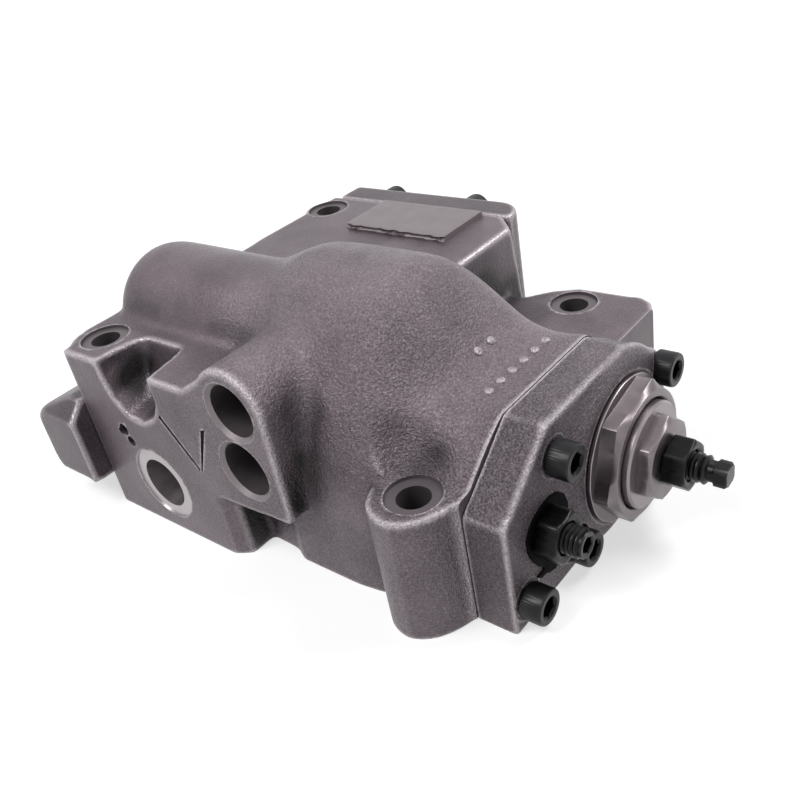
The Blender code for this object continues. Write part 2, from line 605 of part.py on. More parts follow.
def make_casing():
    foot = [(0, 0), (PAD_END_X - PAD_CORNER, 0), (PAD_END_X - PAD_CORNER / 6, PAD_CORNER / 2),
            (PAD_END_X, LEDGE_BACK_Y),
            (0, LEDGE_BACK_Y)]
    casing = prism("casing", foot, 0, DECK_Z, "Z")
    block = hull("casing_block", [
        (0, BLOCK_FRONT_Y, 0), (0, BLOCK_BACK_Y, 0), (BLOCK_FOOT_X, BLOCK_FRONT_Y, 0),
        (BLOCK_FOOT_X, BLOCK_BACK_Y - BLOCK_CORNER, 0), (BLOCK_FOOT_X - BLOCK_CORNER, BLOCK_BACK_Y, 0),
        (0, BLOCK_FRONT_Y, DECK_Z), (0, BLOCK_BACK_Y, DECK_Z), (BLOCK_TOP_X, BLOCK_FRONT_Y, DECK_Z),
        (BLOCK_TOP_X, BLOCK_BACK_Y - BLOCK_CORNER, DECK_Z),
        (BLOCK_TOP_X - BLOCK_CORNER, BLOCK_BACK_Y, DECK_Z),
    ])
    add(casing, block)
    add(casing, loft("casing_hump", hump_sections()))
    barrel_rows = [(BARREL_LEFT_X + BARREL_ROUND * (1 - sin(pi / 2 * i / 4)),
                    BARREL_R - BARREL_ROUND * (1 - cos(pi / 2 * i / 4))) for i in range(4, -1, -1)]
    barrel = turned("casing_barrel", barrel_rows + [(BARREL_RIGHT_X, BARREL_R)], 40)
    add(casing, barrel, (0, BARREL_Y, BARREL_Z))
    ledge = [(LEDGE_X, MOUNT_A[1]), (LEDGE_ROOT_X, MOUNT_A[1] - LEDGE_FRONT), (LEDGE_ROOT_X, LEDGE_BACK_Y),
             (LEDGE_X, LEDGE_BACK_Y)]
    add(casing, prism("casing_ledge", ledge, LEDGE_Z - LEDGE_LAP, DECK_Z, "Z"))
    add(casing, prism("casing_lug_a", circle(*MOUNT_A, LUG_A_R), LUG_A_FOOT_Z, DECK_Z, "Z"))
    add(casing, prism("casing_lug_b", circle(*MOUNT_B, LUG_B_R), 0, DECK_Z, "Z"))
    lug_d = [(min(x, CASING_LENGTH), y) for x, y in circle(*MOUNT_D, LUG_D_R, 20, pi, pi)]
    lug_d += [(CASING_LENGTH, LUG_D_ROOT_Y), (MOUNT_D[0] - LUG_D_R, LUG_D_ROOT_Y)]
    add(casing, prism("casing_lug_d", lug_d, 0, LUG_TOP_Z, "Z"))
    root_x, root_y = FLANGE_ROOT
    flange = [(CASING_LENGTH - root_x, root_y)]
    flange += [(CASING_LENGTH - back, FLANGE_BACK_Y - inward) for back, inward in FLANGE_OUTLINE]
    flange += [(CASING_LENGTH, root_y)]
    add(casing, prism("casing_flange", flange, 0, LUG_TOP_Z, "Z"))
    boss_left = BOSS_RIGHT_X - BOSS_WIDTH
    boss = [(boss_left, BOSS_BOTTOM_Z),
            (BOSS_RIGHT_X - BOSS_FOOT_CUT / 4, BOSS_BOTTOM_Z + BOSS_FOOT_CUT * 3 / 8),
            (BOSS_RIGHT_X, BOSS_BOTTOM_Z + BOSS_FOOT_CUT)]
    boss += circle(BOSS_RIGHT_X - BOSS_TOP_R, PORT_1[1], BOSS_TOP_R, 14, 0, pi * 0.8)
    boss += [(boss_left, DECK_Z)]
    add(casing, prism("casing_port_boss", boss, 0, BOSS_DEPTH, "Y"))
    add(casing, prism("casing_pad", rectangle(*PAD_X, *PAD_Y), DECK_Z - PAD_ROOT, DECK_Z + PAD_HEIGHT, "Z"))

    # The barrel's end overhangs the pilot cover, so its underside is cut level with the ledge
    cut(casing, prism("casing_under_ledge", rectangle(-SPARE, 0, -SPARE, PILOT_COVER_Y[1] + UNDERCUT_SPARE),
                      -CUT, LEDGE_Z, "Z"))
    pocket = [(x, y, DECK_Z + CUT) for x, y in POCKET_TOP]
    pocket += [(x, -CUT, DECK_Z - depth) for x, depth in POCKET_FACE]
    pocket += [(x, y, DECK_Z - depth) for x, y, depth in POCKET_FLOOR]
    cut(casing, hull("casing_front_pocket", pocket))
    drill_mounts(casing)
    drill_ports(casing)
    drill_lines(casing)
    finish(casing, (0, 0, 0), "cast")


def drill_mounts(casing):
    tops = ((MOUNT_A, DECK_Z, "a"), (MOUNT_B, DECK_Z, "b"), (MOUNT_C, LUG_TOP_Z, "c"),
            (MOUNT_D, LUG_TOP_Z, "d"))
    for centre, top, mark in tops:
        drill(casing, "mount_hole_" + mark, "Z", centre, -CUT, top + CUT, MOUNT_HOLE_R, 20)
        drill(casing, "mount_face_" + mark, "Z", centre, top - SPOTFACE_DEPTH, top + SPOTFACE_REACH,
              SPOTFACE_R)


def drill_ports(casing):
    drill(casing, "port_1", "Y", PORT_1, -CUT, PORT_DEPTH, PORT_1_R)
    drill(casing, "port_2", "Y", PORT_2, -CUT, PORT_DEPTH, PORT_2_R)
    drill(casing, "port_3", "Y", PORT_3, -CUT, PORT_DEPTH, PORT_3_R)
    drill(casing, "port_3_face", "Y", PORT_3, -CUT, PORT_3_FACE_DEPTH, PORT_3_FACE_R)
    drill(casing, "port_3_drilling", "Y", (PORT_3[0], LINE_Z - PORT_3_DRILLING_DROP),
          PORT_DEPTH - CUT, PILOT_Y, DRILLING_R, 12)
    drill(casing, "port_1_drilling", "Y", (PORT_1[0], BARREL_Z), PORT_DEPTH - CUT, BARREL_Y - SPOOL_R,
          DRILLING_R, 12)
    drill(casing, "vent", "Y", VENT, -CUT, VENT_DEPTH, VENT_R, 16)


def drill_lines(casing):
    comp = (COMP_Y, LINE_Z)
    pilot = (PILOT_Y, LINE_Z)
    servo = (BARREL_Y, BARREL_Z)
    front, back = CHAMBER_Y
    high, low = CHAMBER_STEP_Y
    chamber = [(front, -CUT), (front, CHAMBER_TOP_Z), (high, CHAMBER_TOP_Z), (low, CHAMBER_STEP_Z),
               (back, CHAMBER_STEP_Z), (back, CHAMBER_FOOT_Z + CHAMBER_FOOT_SLOPE),
               (CHAMBER_FOOT_Y, CHAMBER_FOOT_Z),
               (CHAMBER_FOOT_Y, -CUT)]
    cut(casing, prism("lever_chamber", chamber, CHAMBER_LEFT_X, CHAMBER_RIGHT_X))
    drill(casing, "comp_case_bore", "X", comp, -CUT, COMP_CASE_BORE_END_X, COMP_CASE_BORE_R)
    drill(casing, "comp_guide", "X", comp, COMP_CASE_BORE_END_X - CUT, CHAMBER_LEFT_X + CUT, COMP_GUIDE_R)
    drill(casing, "spring_chamber", "X", comp, CHAMBER_RIGHT_X - CUT, CASING_LENGTH + CUT,
          SPRING_CHAMBER_R, 32)
    drill(casing, "pilot_bore", "X", pilot, -CUT, CASING_LENGTH + CUT, PILOT_BORE_R)
    drill(casing, "sleeve_bore", "X", servo, PLUG_BORE_END_X - CUT, CHAMBER_LEFT_X + CUT, SLEEVE_BORE_R)
    drill(casing, "plug_bore", "X", servo, BARREL_LEFT_X - CUT, PLUG_BORE_END_X, PLUG_BORE_R)
    drill(casing, "ring_groove", "X", servo, SLEEVE_RIGHT_X, SLEEVE_RIGHT_X + SLEEVE_RING_WIDTH + 2 * GAP,
          SLEEVE_BORE_R + SLEEVE_RING_GROOVE)
    drill(casing, "fulcrum_bore", "Y", (LEVER_X, PIVOT_Z), CHAMBER_Y[1] - CUT, END_BACK_Y + CUT,
          FULCRUM_R + GAP, 20)
    drill(casing, "pivot_hole", "Y", (LEVER_X, PIVOT_Z), CHAMBER_Y[0] - PIVOT_ROOT, CHAMBER_Y[0] + CUT,
          PIVOT_PIN_R + RUN, SMALL_ROUND)
    for i, centre in enumerate(COVER_SCREWS):
        drill(casing, "cover_thread_%d" % i, "X", centre,
              CASING_LENGTH - CAP_THREAD_IN_CASING - CAP_HOLE_SPARE,
              CASING_LENGTH + CUT, CAP_SHANK_R + GAP, SMALL_ROUND)
    for i, centre in enumerate(PILOT_COVER_SCREWS):
        drill(casing, "pilot_cover_thread_%d" % i, "X", centre, -CUT, CAP_THREAD_IN_CASING + CAP_HOLE_SPARE,
              CAP_SHANK_R + GAP, SMALL_ROUND)
    for i, centre in enumerate(REAR_COVER_SCREWS):
        drill(casing, "rear_cover_thread_%d" % i, "Y", centre,
              BLOCK_BACK_Y - CAP_THREAD_IN_CASING - CAP_HOLE_SPARE,
              BLOCK_BACK_Y + CUT, CAP_SHANK_R + GAP, SMALL_ROUND)
    for i, (centre, depth) in enumerate(((PASSAGE_1, LINE_Z), (PASSAGE_2, LINE_Z))):
        drill(casing, "passage_%d" % i, "Z", centre, -CUT, depth, PASSAGE_R, SMALL_ROUND)
        drill(casing, "passage_seat_%d" % i, "Z", centre, -CUT, 2 * SEAL_WIRE_R + 2 * GAP,
              PASSAGE_SEAL_R + SEAL_WIRE_R + GAP, 20)
    check = (CHECK_X, CHECK_Z)
    drill(casing, "check_bore", "Y", check, CHECK_SEAT_Y - CHECK_SEAT_THICKNESS - GAP, BLOCK_BACK_Y + CUT,
          CHECK_BORE_R + GAP, 20)
    drill(casing, "check_drilling", "Y", check, COMP_Y, CHECK_SEAT_Y, DRILLING_R, 12)


def adjuster_outline():
    slope = [(COVER_BACK_Y - inward, END_TOP_Z - drop) for inward, drop in COVER_SLOPE]
    return [(END_FRONT_Y, 0), (END_FRONT_Y, END_SHOULDER_Z), (END_SHOULDER_Y, END_TOP_Z),
            (END_RIDGE_Y, END_TOP_Z),
            *slope, (COVER_BACK_Y, END_TOP_Z - COVER_BACK_DROP), (COVER_BACK_Y, COVER_FOOT_CUT),
            (COVER_BACK_Y - COVER_FOOT_CUT, 0)]


def bevelled(item, width, segments=2):
    modifier = item.modifiers.new("edge_round", "BEVEL")
    modifier.width = width
    modifier.segments = segments
    modifier.limit_method = "ANGLE"
    modifier.angle_limit = radians(25)


def make_adjuster_cover():
    cover = prism("adjuster_cover", adjuster_outline(), COVER_LEFT_X, COVER_FACE_X)
    bevelled(cover, COVER_EDGE)
    boss = turned("cover_boss", [(COVER_FACE_X - CUT, COVER_BOSS_FOOT_R), (COVER_FACE_X, COVER_BOSS_FOOT_R),
                                (BOSS_FACE_X, COVER_BOSS_TOP_R)], 40)
    add(cover, boss, (0, COMP_Y, LINE_Z))
    below = rectangle(COVER_LEFT_X - CUT, BOSS_FACE_X + CUT, -SPARE, COVER_BACK_Y + SPARE)
    cut(cover, prism("cover_foot", below, -SPARE, 0, "Z"))
    drill(cover, "cover_thread", "X", (COMP_Y, LINE_Z), COVER_LEFT_X - CUT, BOSS_FACE_X + CUT,
          BIG_THREAD_R + GAP, 32)
    drill(cover, "flow_thread", "X", (PILOT_Y, LINE_Z), COVER_LEFT_X - CUT, COVER_FACE_X + CUT,
          STEM_R + GAP, 20)
    for i, centre in enumerate(COVER_SCREWS):
        drill(cover, "cover_hole_%d" % i, "X", centre, COVER_LEFT_X - CUT, BOSS_FACE_X + CUT,
              CAP_SHANK_R + GAP, SMALL_ROUND)
        drill(cover, "cover_seat_%d" % i, "X", centre, COVER_FACE_X, BOSS_FACE_X + CUT,
              CAP_HEAD_R + HEAD_ROOM, 20)
    grooves = (("comp", (COMP_Y, LINE_Z), COMP_SEAL_R), ("pilot", (PILOT_Y, LINE_Z), PILOT_SEAL_R))
    for mark, centre, radius in grooves:
        ring = turned_ring("cover_groove_" + mark,
                           ring_rows(COVER_LEFT_X - CUT, COVER_LEFT_X + SEAL_SINK, radius))
        cut(cover, ring, (0, *centre))
    finish(cover, (0, 0, 0), "cast")
    for i, centre in enumerate(COVER_SCREWS):
        cap_screw("cover_screw_%d" % (i + 1), (COVER_FACE_X + GAP, *centre),
                  COVER_THICKNESS + CAP_THREAD_IN_CASING)


# Square groove round a ring seal
def ring_rows(start, end, radius):
    inner = radius - SEAL_WIRE_R - GAP
    outer = radius + SEAL_WIRE_R + GAP
    return [(start, inner), (end, inner), (end, outer), (start, outer)]


def make_pilot_cover():
    low_y, high_y = PILOT_COVER_Y
    low_z, high_z = PILOT_COVER_Z
    left = -GAP - PILOT_COVER_THICKNESS
    corner = PILOT_COVER_ROUND
    outline = circle(left + corner, low_z + corner, corner, 8, pi, pi / 2)
    outline += [(-GAP, low_z), (-GAP, high_z), *PILOT_COVER_TOP]
    cover = prism("pilot_cover", outline, low_y, high_y, "Y")
    bevelled(cover, COVER_EDGE)
    toe, rise = PILOT_TOE
    heel_front, heel_back = PILOT_HEEL_Y
    foot = [(low_y - CUT, 0), (low_y - CUT, PILOT_COVER_FRONT_Z + rise), (low_y + toe, PILOT_COVER_FRONT_Z),
            (heel_front, PILOT_COVER_FRONT_Z), (heel_back, low_z - CUT), (heel_back, 0)]
    cut(cover, prism("pilot_cover_foot", foot, left - CUT, CUT))
    brow_y, brow_z = PILOT_BROW
    brow = [(low_y - CUT, brow_z), (brow_y, high_z + CUT), (low_y - CUT, high_z + CUT)]
    cut(cover, prism("pilot_cover_brow", brow, left - CUT, CUT))
    for i, centre in enumerate(PILOT_COVER_SCREWS):
        drill(cover, "pilot_cover_hole_%d" % i, "X", centre, left - CUT, CUT, CAP_SHANK_R + GAP, SMALL_ROUND)
        drill(cover, "pilot_cover_sink_%d" % i, "X", centre, left - CUT, left + PILOT_COVER_SINK,
              CAP_HEAD_R + GAP, 20)
    grooves = (("comp", (COMP_Y, LINE_Z), CASE_SEAL_R), ("pilot", (PILOT_Y, LINE_Z), PILOT_SEAL_R))
    for mark, centre, radius in grooves:
        ring = turned_ring("pilot_cover_groove_" + mark, ring_rows(-GAP - SEAL_SINK, CUT, radius))
        cut(cover, ring, (0, *centre))
    finish(cover, (0, 0, 0), "cast")
    for i, centre in enumerate(PILOT_COVER_SCREWS):
        cap_screw("pilot_cover_screw_%d" % (i + 1), (left + PILOT_COVER_SINK - GAP, *centre),
                  PILOT_COVER_THICKNESS - PILOT_COVER_SINK + CAP_THREAD_IN_CASING, "-X")


def make_rear_cover():
    low_x, high_x = REAR_COVER_X
    corner = REAR_COVER_THICKNESS - REAR_COVER_FLAT
    outline = [(low_x, REAR_COVER_Y), (high_x, REAR_COVER_Y)]
    outline += circle(high_x - corner, REAR_COVER_FACE_Y - corner, corner, 8, 0, pi / 2)
    outline += [(low_x, REAR_COVER_FACE_Y)]
    cover = prism("rear_cover", outline, *REAR_COVER_Z, "Z")
    bevelled(cover, COVER_EDGE)
    for i, centre in enumerate(REAR_COVER_SCREWS):
        drill(cover, "rear_cover_hole_%d" % i, "Y", centre, REAR_COVER_Y - CUT, REAR_COVER_FACE_Y + CUT,
              CAP_SHANK_R + GAP, SMALL_ROUND)
    finish(cover, (0, 0, 0), "cast")
    for i, (x, z) in enumerate(REAR_COVER_SCREWS):
        cap_screw("rear_cover_screw_%d" % (i + 1), (x, REAR_COVER_FACE_Y + GAP, z),
                  REAR_COVER_THICKNESS + CAP_THREAD_IN_CASING, "Y")


# Hexagon nut about X with a bored thread, its corners turned off by a cone
def nut(name, flats, height, bore, collar_r=0.0, collar=0.0, turn=0.0):
    corner = flats / sqrt(3)
    top = collar + height
    slope = tan(radians(NUT_BEVEL))
    item = prism(name, hexagon(flats, turn), collar, top)
    outer = corner + CUT
    envelope = turned(name + "_envelope", [(-CUT, outer), (top - (outer - flats / 2) * slope, outer),
                                           (top + GAP, flats / 2 - GAP / slope)], 36)
    combine(item, envelope, "INTERSECT")
    if collar:
        add(item, turned(name + "_collar", [(0, collar_r), (collar + GAP, collar_r)], 36))
    cut(item, turned(name + "_bore", [(-CUT, bore), (top + CUT, bore)]))
    return item


def make_adjusters():
    axis = (COMP_Y, LINE_Z)
    big = nut("lock_nut", BIG_NUT_FLATS, BIG_NUT_HEIGHT, BIG_THREAD_R + RUN, BIG_NUT_COLLAR_R,
              BIG_NUT_COLLAR, radians(10))
    finish(big, (BIG_NUT_X, *axis), "zinc")

    left = ADJUSTER_LEFT_X
    screw = turned("adjusting_screw", [(left, BIG_THREAD_R),
                                       (ADJUSTER_RIM_X - BIG_THREAD_CHAMFER, BIG_THREAD_R),
                                       (ADJUSTER_RIM_X, BIG_THREAD_R - BIG_THREAD_CHAMFER)], 32)
    add(screw, prism("adjusting_screw_hex", hexagon(ADJUSTER_HEX_FLATS, radians(20)), ADJUSTER_RIM_X - CUT,
                     ADJUSTER_END_X))
    cut(screw, turned("adjusting_screw_pocket", [(left - CUT, ADJUSTER_POCKET_R),
                                                 (left + ADJUSTER_POCKET_DEPTH, ADJUSTER_POCKET_R)]))
    cut(screw, turned("adjusting_screw_bore", [(left, STEM_R + RUN),
                                               (ADJUSTER_END_X + CUT, STEM_R + RUN)], 20))
    finish(screw, (0, *axis), "zinc")

    stem = turned("adjusting_stem", [(STEM_SEAT_X, STEM_SEAT_R),
                                     (STEM_SEAT_X + STEM_SEAT_THICKNESS, STEM_SEAT_R),
                                     (STEM_SEAT_X + STEM_SEAT_THICKNESS, STEM_R),
                                     (STEM_THREAD_END_X, STEM_R)], 20)
    tip = prism("adjusting_stem_tip", circle(0, 0, STEM_TIP_FLATS / sqrt(2), 4, pi / 4),
                STEM_THREAD_END_X - CUT,
                STEM_END_X)
    add(stem, tip)
    finish(stem, (0, *axis), "black")
    small = nut("stem_lock_nut", SMALL_NUT_FLATS, SMALL_NUT_HEIGHT, STEM_R + RUN, turn=radians(15))
    finish(small, (SMALL_NUT_X, *axis), "black")

    flow = (PILOT_Y, LINE_Z)
    flow_screw = turned("flow_set_screw", [(CASING_LENGTH, STEM_R), (FLOW_END_X - FLOW_CHAMFER, STEM_R),
                                           (FLOW_END_X, STEM_R - FLOW_CHAMFER)], 20)
    cut(flow_screw, prism("flow_socket", hexagon(FLOW_SOCKET_FLATS), FLOW_END_X - FLOW_SOCKET_DEPTH,
                          FLOW_END_X + CUT))
    finish(flow_screw, (0, *flow), "black")
    flow_nut = nut("flow_lock_nut", SMALL_NUT_FLATS, SMALL_NUT_HEIGHT, STEM_R + RUN, turn=radians(5))
    finish(flow_nut, (FLOW_NUT_X, *flow), "black")


# Slot across a rod for a lever's tip
def tip_slot(item, name, radius):
    cut(item, prism(name, rectangle(LEVER_X - TIP_R - GAP, LEVER_X + TIP_R + GAP, -TIP_SLOT_WIDTH / 2,
                                    TIP_SLOT_WIDTH / 2), -TIP_R - 2 * GAP, radius + CUT, "Z"))


def make_compensator():
    axis = (COMP_Y, LINE_Z)
    case = turned_ring("piston_case", [(CASE_LEFT_X, CASE_BORE_R), (CASE_LEFT_X, CASE_WALL_R),
                                       (CASE_END_X, CASE_WALL_R), (CASE_END_X, CASE_BORE_R)])
    finish(case, (0, *axis), "steel")
    piston = turned("compensator_piston", [(PISTON_LEFT_X, PISTON_R), (PISTON_STEP_X, PISTON_R),
                                           (PISTON_STEP_X, PISTON_NOSE_R), (PISTON_RIGHT_X, PISTON_NOSE_R)])
    finish(piston, (0, *axis), "steel")
    rod = turned("compensator_rod", [(PISTON_RIGHT_X + GAP, ROD_R), (SEAT_FACE_X - GAP, ROD_R)])
    tip_slot(rod, "compensator_rod_slot", ROD_R)
    finish(rod, (0, *axis), "steel")
    spigot = INNER_SPRING_R - INNER_WIRE / 2 - COMP_SPIGOT_PLAY
    seat_rows = [(SEAT_FACE_X, COMP_SEAT_R), (SEAT_END_X, COMP_SEAT_R), (SEAT_END_X, spigot),
                 (SEAT_END_X + COMP_SPIGOT_LENGTH, spigot)]
    finish(turned("compensator_spring_seat", seat_rows), (0, *axis), "steel")
    spring("outer_spring", SEAT_END_X, ADJUSTER_LEFT_X, OUTER_SPRING_R, OUTER_WIRE, OUTER_TURNS, *axis)
    spring("inner_spring", SEAT_END_X, STEM_SEAT_X, INNER_SPRING_R, INNER_WIRE, INNER_TURNS, *axis)


def make_pilot():
    axis = (PILOT_Y, LINE_Z)
    radius = PILOT_BORE_R - RUN
    piston = turned("pilot_piston", [(PILOT_PISTON_LEFT_X, radius), (PILOT_PISTON_STEP_X, radius),
                                     (PILOT_PISTON_STEP_X, PILOT_ROD_R), (SEAT_FACE_X - GAP, PILOT_ROD_R)])
    tip_slot(piston, "pilot_piston_slot", PILOT_ROD_R)
    finish(piston, (0, *axis), "steel")
    spigot = PILOT_SPRING_R - PILOT_WIRE / 2 - PILOT_SPIGOT_PLAY
    seat_rows = [(SEAT_FACE_X, radius), (SEAT_END_X, radius), (SEAT_END_X, spigot),
                 (SEAT_END_X + PILOT_SPIGOT_LENGTH, spigot)]
    finish(turned("pilot_spring_seat", seat_rows), (0, *axis), "steel")
    spring("pilot_spring", SEAT_END_X, PILOT_STEM_X, PILOT_SPRING_R, PILOT_WIRE, PILOT_TURNS, *axis)
    stem_rows = [(PILOT_STEM_X - PILOT_SPIGOT_LENGTH, spigot), (PILOT_STEM_X, spigot),
                 (PILOT_STEM_X, radius), (PILOT_STEM_X + PILOT_STEM_LENGTH, radius)]
    finish(turned("pilot_adjusting_stem", stem_rows), (0, *axis), "steel")


def make_servo():
    axis = (BARREL_Y, BARREL_Z)
    plug_end = PLUG_BORE_END_X - GAP
    plug = turned("servo_plug", [(BARREL_LEFT_X + GAP, PLUG_HEAD_R), (plug_end, PLUG_HEAD_R)])
    cut(plug, prism("servo_plug_socket", hexagon(PLUG_SOCKET_FLATS), BARREL_LEFT_X - CUT,
                    BARREL_LEFT_X + PLUG_SOCKET_DEPTH))
    finish(plug, (0, *axis), "black")
    inner = SPOOL_R + RUN
    outer = SLEEVE_BORE_R - RUN
    sleeve = turned_ring("sleeve", [(SLEEVE_LEFT_X, inner), (SLEEVE_LEFT_X, outer),
                                    (SLEEVE_RIGHT_X - GAP, outer), (SLEEVE_RIGHT_X - GAP, inner)])
    finish(sleeve, (0, *axis), "steel")
    ring_out = SLEEVE_BORE_R + SLEEVE_RING_GROOVE - GAP
    ring = turned_ring("sleeve_snap_ring", [(SLEEVE_RIGHT_X + GAP, SLEEVE_BORE_R - SLEEVE_RING_IN),
                                            (SLEEVE_RIGHT_X + GAP, ring_out),
                                            (SLEEVE_RIGHT_X + GAP + SLEEVE_RING_WIDTH, ring_out),
                                            (SLEEVE_RIGHT_X + GAP + SLEEVE_RING_WIDTH,
                                             SLEEVE_BORE_R - SLEEVE_RING_IN)])
    finish(ring, (0, *axis), "spring")
    spool_rows = [(SPOOL_LEFT_X, SPOOL_R)]
    for start, end in SPOOL_NECKS:
        neck_left, neck_right = SLEEVE_LEFT_X + start, SLEEVE_LEFT_X + end
        spool_rows += [(neck_left, SPOOL_R), (neck_left, SPOOL_NECK_R), (neck_right, SPOOL_NECK_R),
                       (neck_right, SPOOL_R)]
    spool_rows.append((SPOOL_RIGHT_X, SPOOL_R))
    spool = turned("spool", spool_rows, 20)
    cut(spool, prism("spool_fork", rectangle(LEVER_X - FORK_REACH, SPOOL_RIGHT_X + CUT, -TIP_SLOT_WIDTH / 2,
                                             TIP_SLOT_WIDTH / 2), -2 * SPOOL_R, 2 * SPOOL_R, "Z"))
    drill(spool, "spool_pin_hole", "Y", (LEVER_X, 0), -2 * SPOOL_R, 2 * SPOOL_R, CROSS_PIN_R + RUN, 12)
    finish(spool, (0, *axis), "steel")
    seat_x = SPOOL_LEFT_X - SPOOL_SEAT_THICKNESS - GAP
    finish(turned("spool_spring_seat", [(seat_x, SPOOL_R), (SPOOL_LEFT_X - GAP, SPOOL_R)], 20),
           (0, *axis), "steel")
    spring("return_spring", plug_end, seat_x, RETURN_SPRING_R, RETURN_WIRE, RETURN_TURNS, *axis)
    spring("set_spring", plug_end, SLEEVE_LEFT_X, SET_SPRING_R, SET_WIRE, SET_TURNS, *axis)


# Flat lever in the XZ plane: a chain of discs joined by their hulls, with its holes cut
def lever(name, discs, holes, pivot, y):
    rounds = [circle(0, z - pivot, radius, 16) for z, radius in discs]
    item = None
    for i, (low, high) in enumerate(zip(rounds, rounds[1:])):
        cloud = [(a, side, b) for a, b in low + high for side in (-LEVER_THICKNESS / 2, LEVER_THICKNESS / 2)]
        piece = hull(name if item is None else "%s_%d" % (name, i), cloud)
        if item is None:
            item = piece
        else:
            add(item, piece)
    for i, (z, radius, half_slot) in enumerate(holes):
        outline = circle(0, z - pivot, radius, 16)
        if half_slot:
            outline = circle(-half_slot, z - pivot, radius, 12, pi / 2, pi)
            outline += circle(half_slot, z - pivot, radius, 12, -pi / 2, pi)
        cut(item, prism("%s_hole_%d" % (name, i), outline, -LEVER_THICKNESS, LEVER_THICKNESS, "Y"))
    finish(item, (LEVER_X, y, pivot), "steel")


def make_levers():
    play = CROSS_PIN_R + RUN
    lever("feedback_lever",
          [(FEEDBACK_PIVOT_Z, LEVER_END_R), (PILOT_PIN_Z - FEEDBACK_PILOT_DROP, FEEDBACK_PILOT_R),
           (COMP_PIN_Z, FEEDBACK_COMP_R), (BARREL_Z - FEEDBACK_NECK, LEVER_END_R),
           (BARREL_Z, FEEDBACK_TIP_R)],
          [(FEEDBACK_PIVOT_Z, LINK_HOLE_R, 0), (PILOT_PIN_Z, play, 0), (COMP_PIN_Z, play, COMP_PIN_PLAY),
           (BARREL_Z, play, 0)],
          FEEDBACK_PIVOT_Z, BARREL_Y)
    neck = (LINE_Z + ROD_R - LEVER_NECK_SINK, LEVER_NECK_R)
    lever("compensator_lever", [(LINE_Z, TIP_R), neck, (COMP_PIN_Z, COMP_LEVER_R), (PIVOT_Z, LEVER_END_R)],
          [(COMP_PIN_Z, play, 0), (PIVOT_Z, PIVOT_PIN_R + RUN, 0)], PIVOT_Z, COMP_Y)
    lever("pilot_lever", [(LINE_Z, TIP_R), neck, (PILOT_PIN_Z + PILOT_LEVER_RISE, PILOT_LEVER_R),
                          (PIVOT_Z, LEVER_END_R)],
          [(PILOT_PIN_Z, play, 0), (PIVOT_Z, PIVOT_PIN_R + RUN, 0)], PIVOT_Z, PILOT_Y)
    reach = LEVER_THICKNESS / 2 + PIN_OVERHANG
    cross_pin("compensator_pin", COMP_PIN_Z, BARREL_Y - reach, COMP_Y + reach)
    cross_pin("pilot_pin", PILOT_PIN_Z, PILOT_Y - reach, BARREL_Y + reach)
    cross_pin("spool_pin", BARREL_Z, BARREL_Y - SPOOL_R + GAP, BARREL_Y + SPOOL_R - GAP)
    pin = turned("pilot_lever_pivot", [(CHAMBER_Y[0] - PIVOT_ROOT + GAP, PIVOT_PIN_R),
                                       (PILOT_Y + reach, PIVOT_PIN_R)], SMALL_ROUND)
    pin.data.transform(Matrix.Rotation(pi / 2, 4, "Z"))
    finish(pin, (LEVER_X, 0, PIVOT_Z), "steel")
    plug = turned("fulcrum_plug", [(COMP_Y - reach, PIVOT_PIN_R), (FULCRUM_Y - FULCRUM_LENGTH, PIVOT_PIN_R),
                                   (FULCRUM_Y - FULCRUM_LENGTH, FULCRUM_R), (FULCRUM_Y, FULCRUM_R)], 20)
    cut(plug, prism("fulcrum_socket", hexagon(FULCRUM_SOCKET_FLATS), FULCRUM_Y - FULCRUM_SOCKET_DEPTH,
                    FULCRUM_Y + CUT))
    plug.rotation_euler = (0, 0, pi / 2)
    finish(plug, (LEVER_X, 0, PIVOT_Z), "black")


# Pin along Y at the lever plane
def cross_pin(name, z, start, end):
    pin = turned(name, [(start, CROSS_PIN_R), (end, CROSS_PIN_R)], 12)
    pin.data.transform(Matrix.Rotation(pi / 2, 4, "Z"))
    finish(pin, (LEVER_X, 0, z), "steel")


def make_seals():
    groove = COVER_LEFT_X + SEAL_WIRE_R
    seal("adjuster_seal", (groove, COMP_Y, LINE_Z), COMP_SEAL_R)
    seal("flow_seal", (groove, PILOT_Y, LINE_Z), PILOT_SEAL_R)
    left = -GAP - SEAL_WIRE_R
    seal("piston_case_seal", (left, COMP_Y, LINE_Z), CASE_SEAL_R)
    seal("pilot_seal", (left, PILOT_Y, LINE_Z), PILOT_SEAL_R)
    for i, centre in enumerate((PASSAGE_1, PASSAGE_2)):
        seal("mounting_face_seal_%d" % (i + 1), (*centre, SEAL_WIRE_R + GAP), PASSAGE_SEAL_R, "Z")


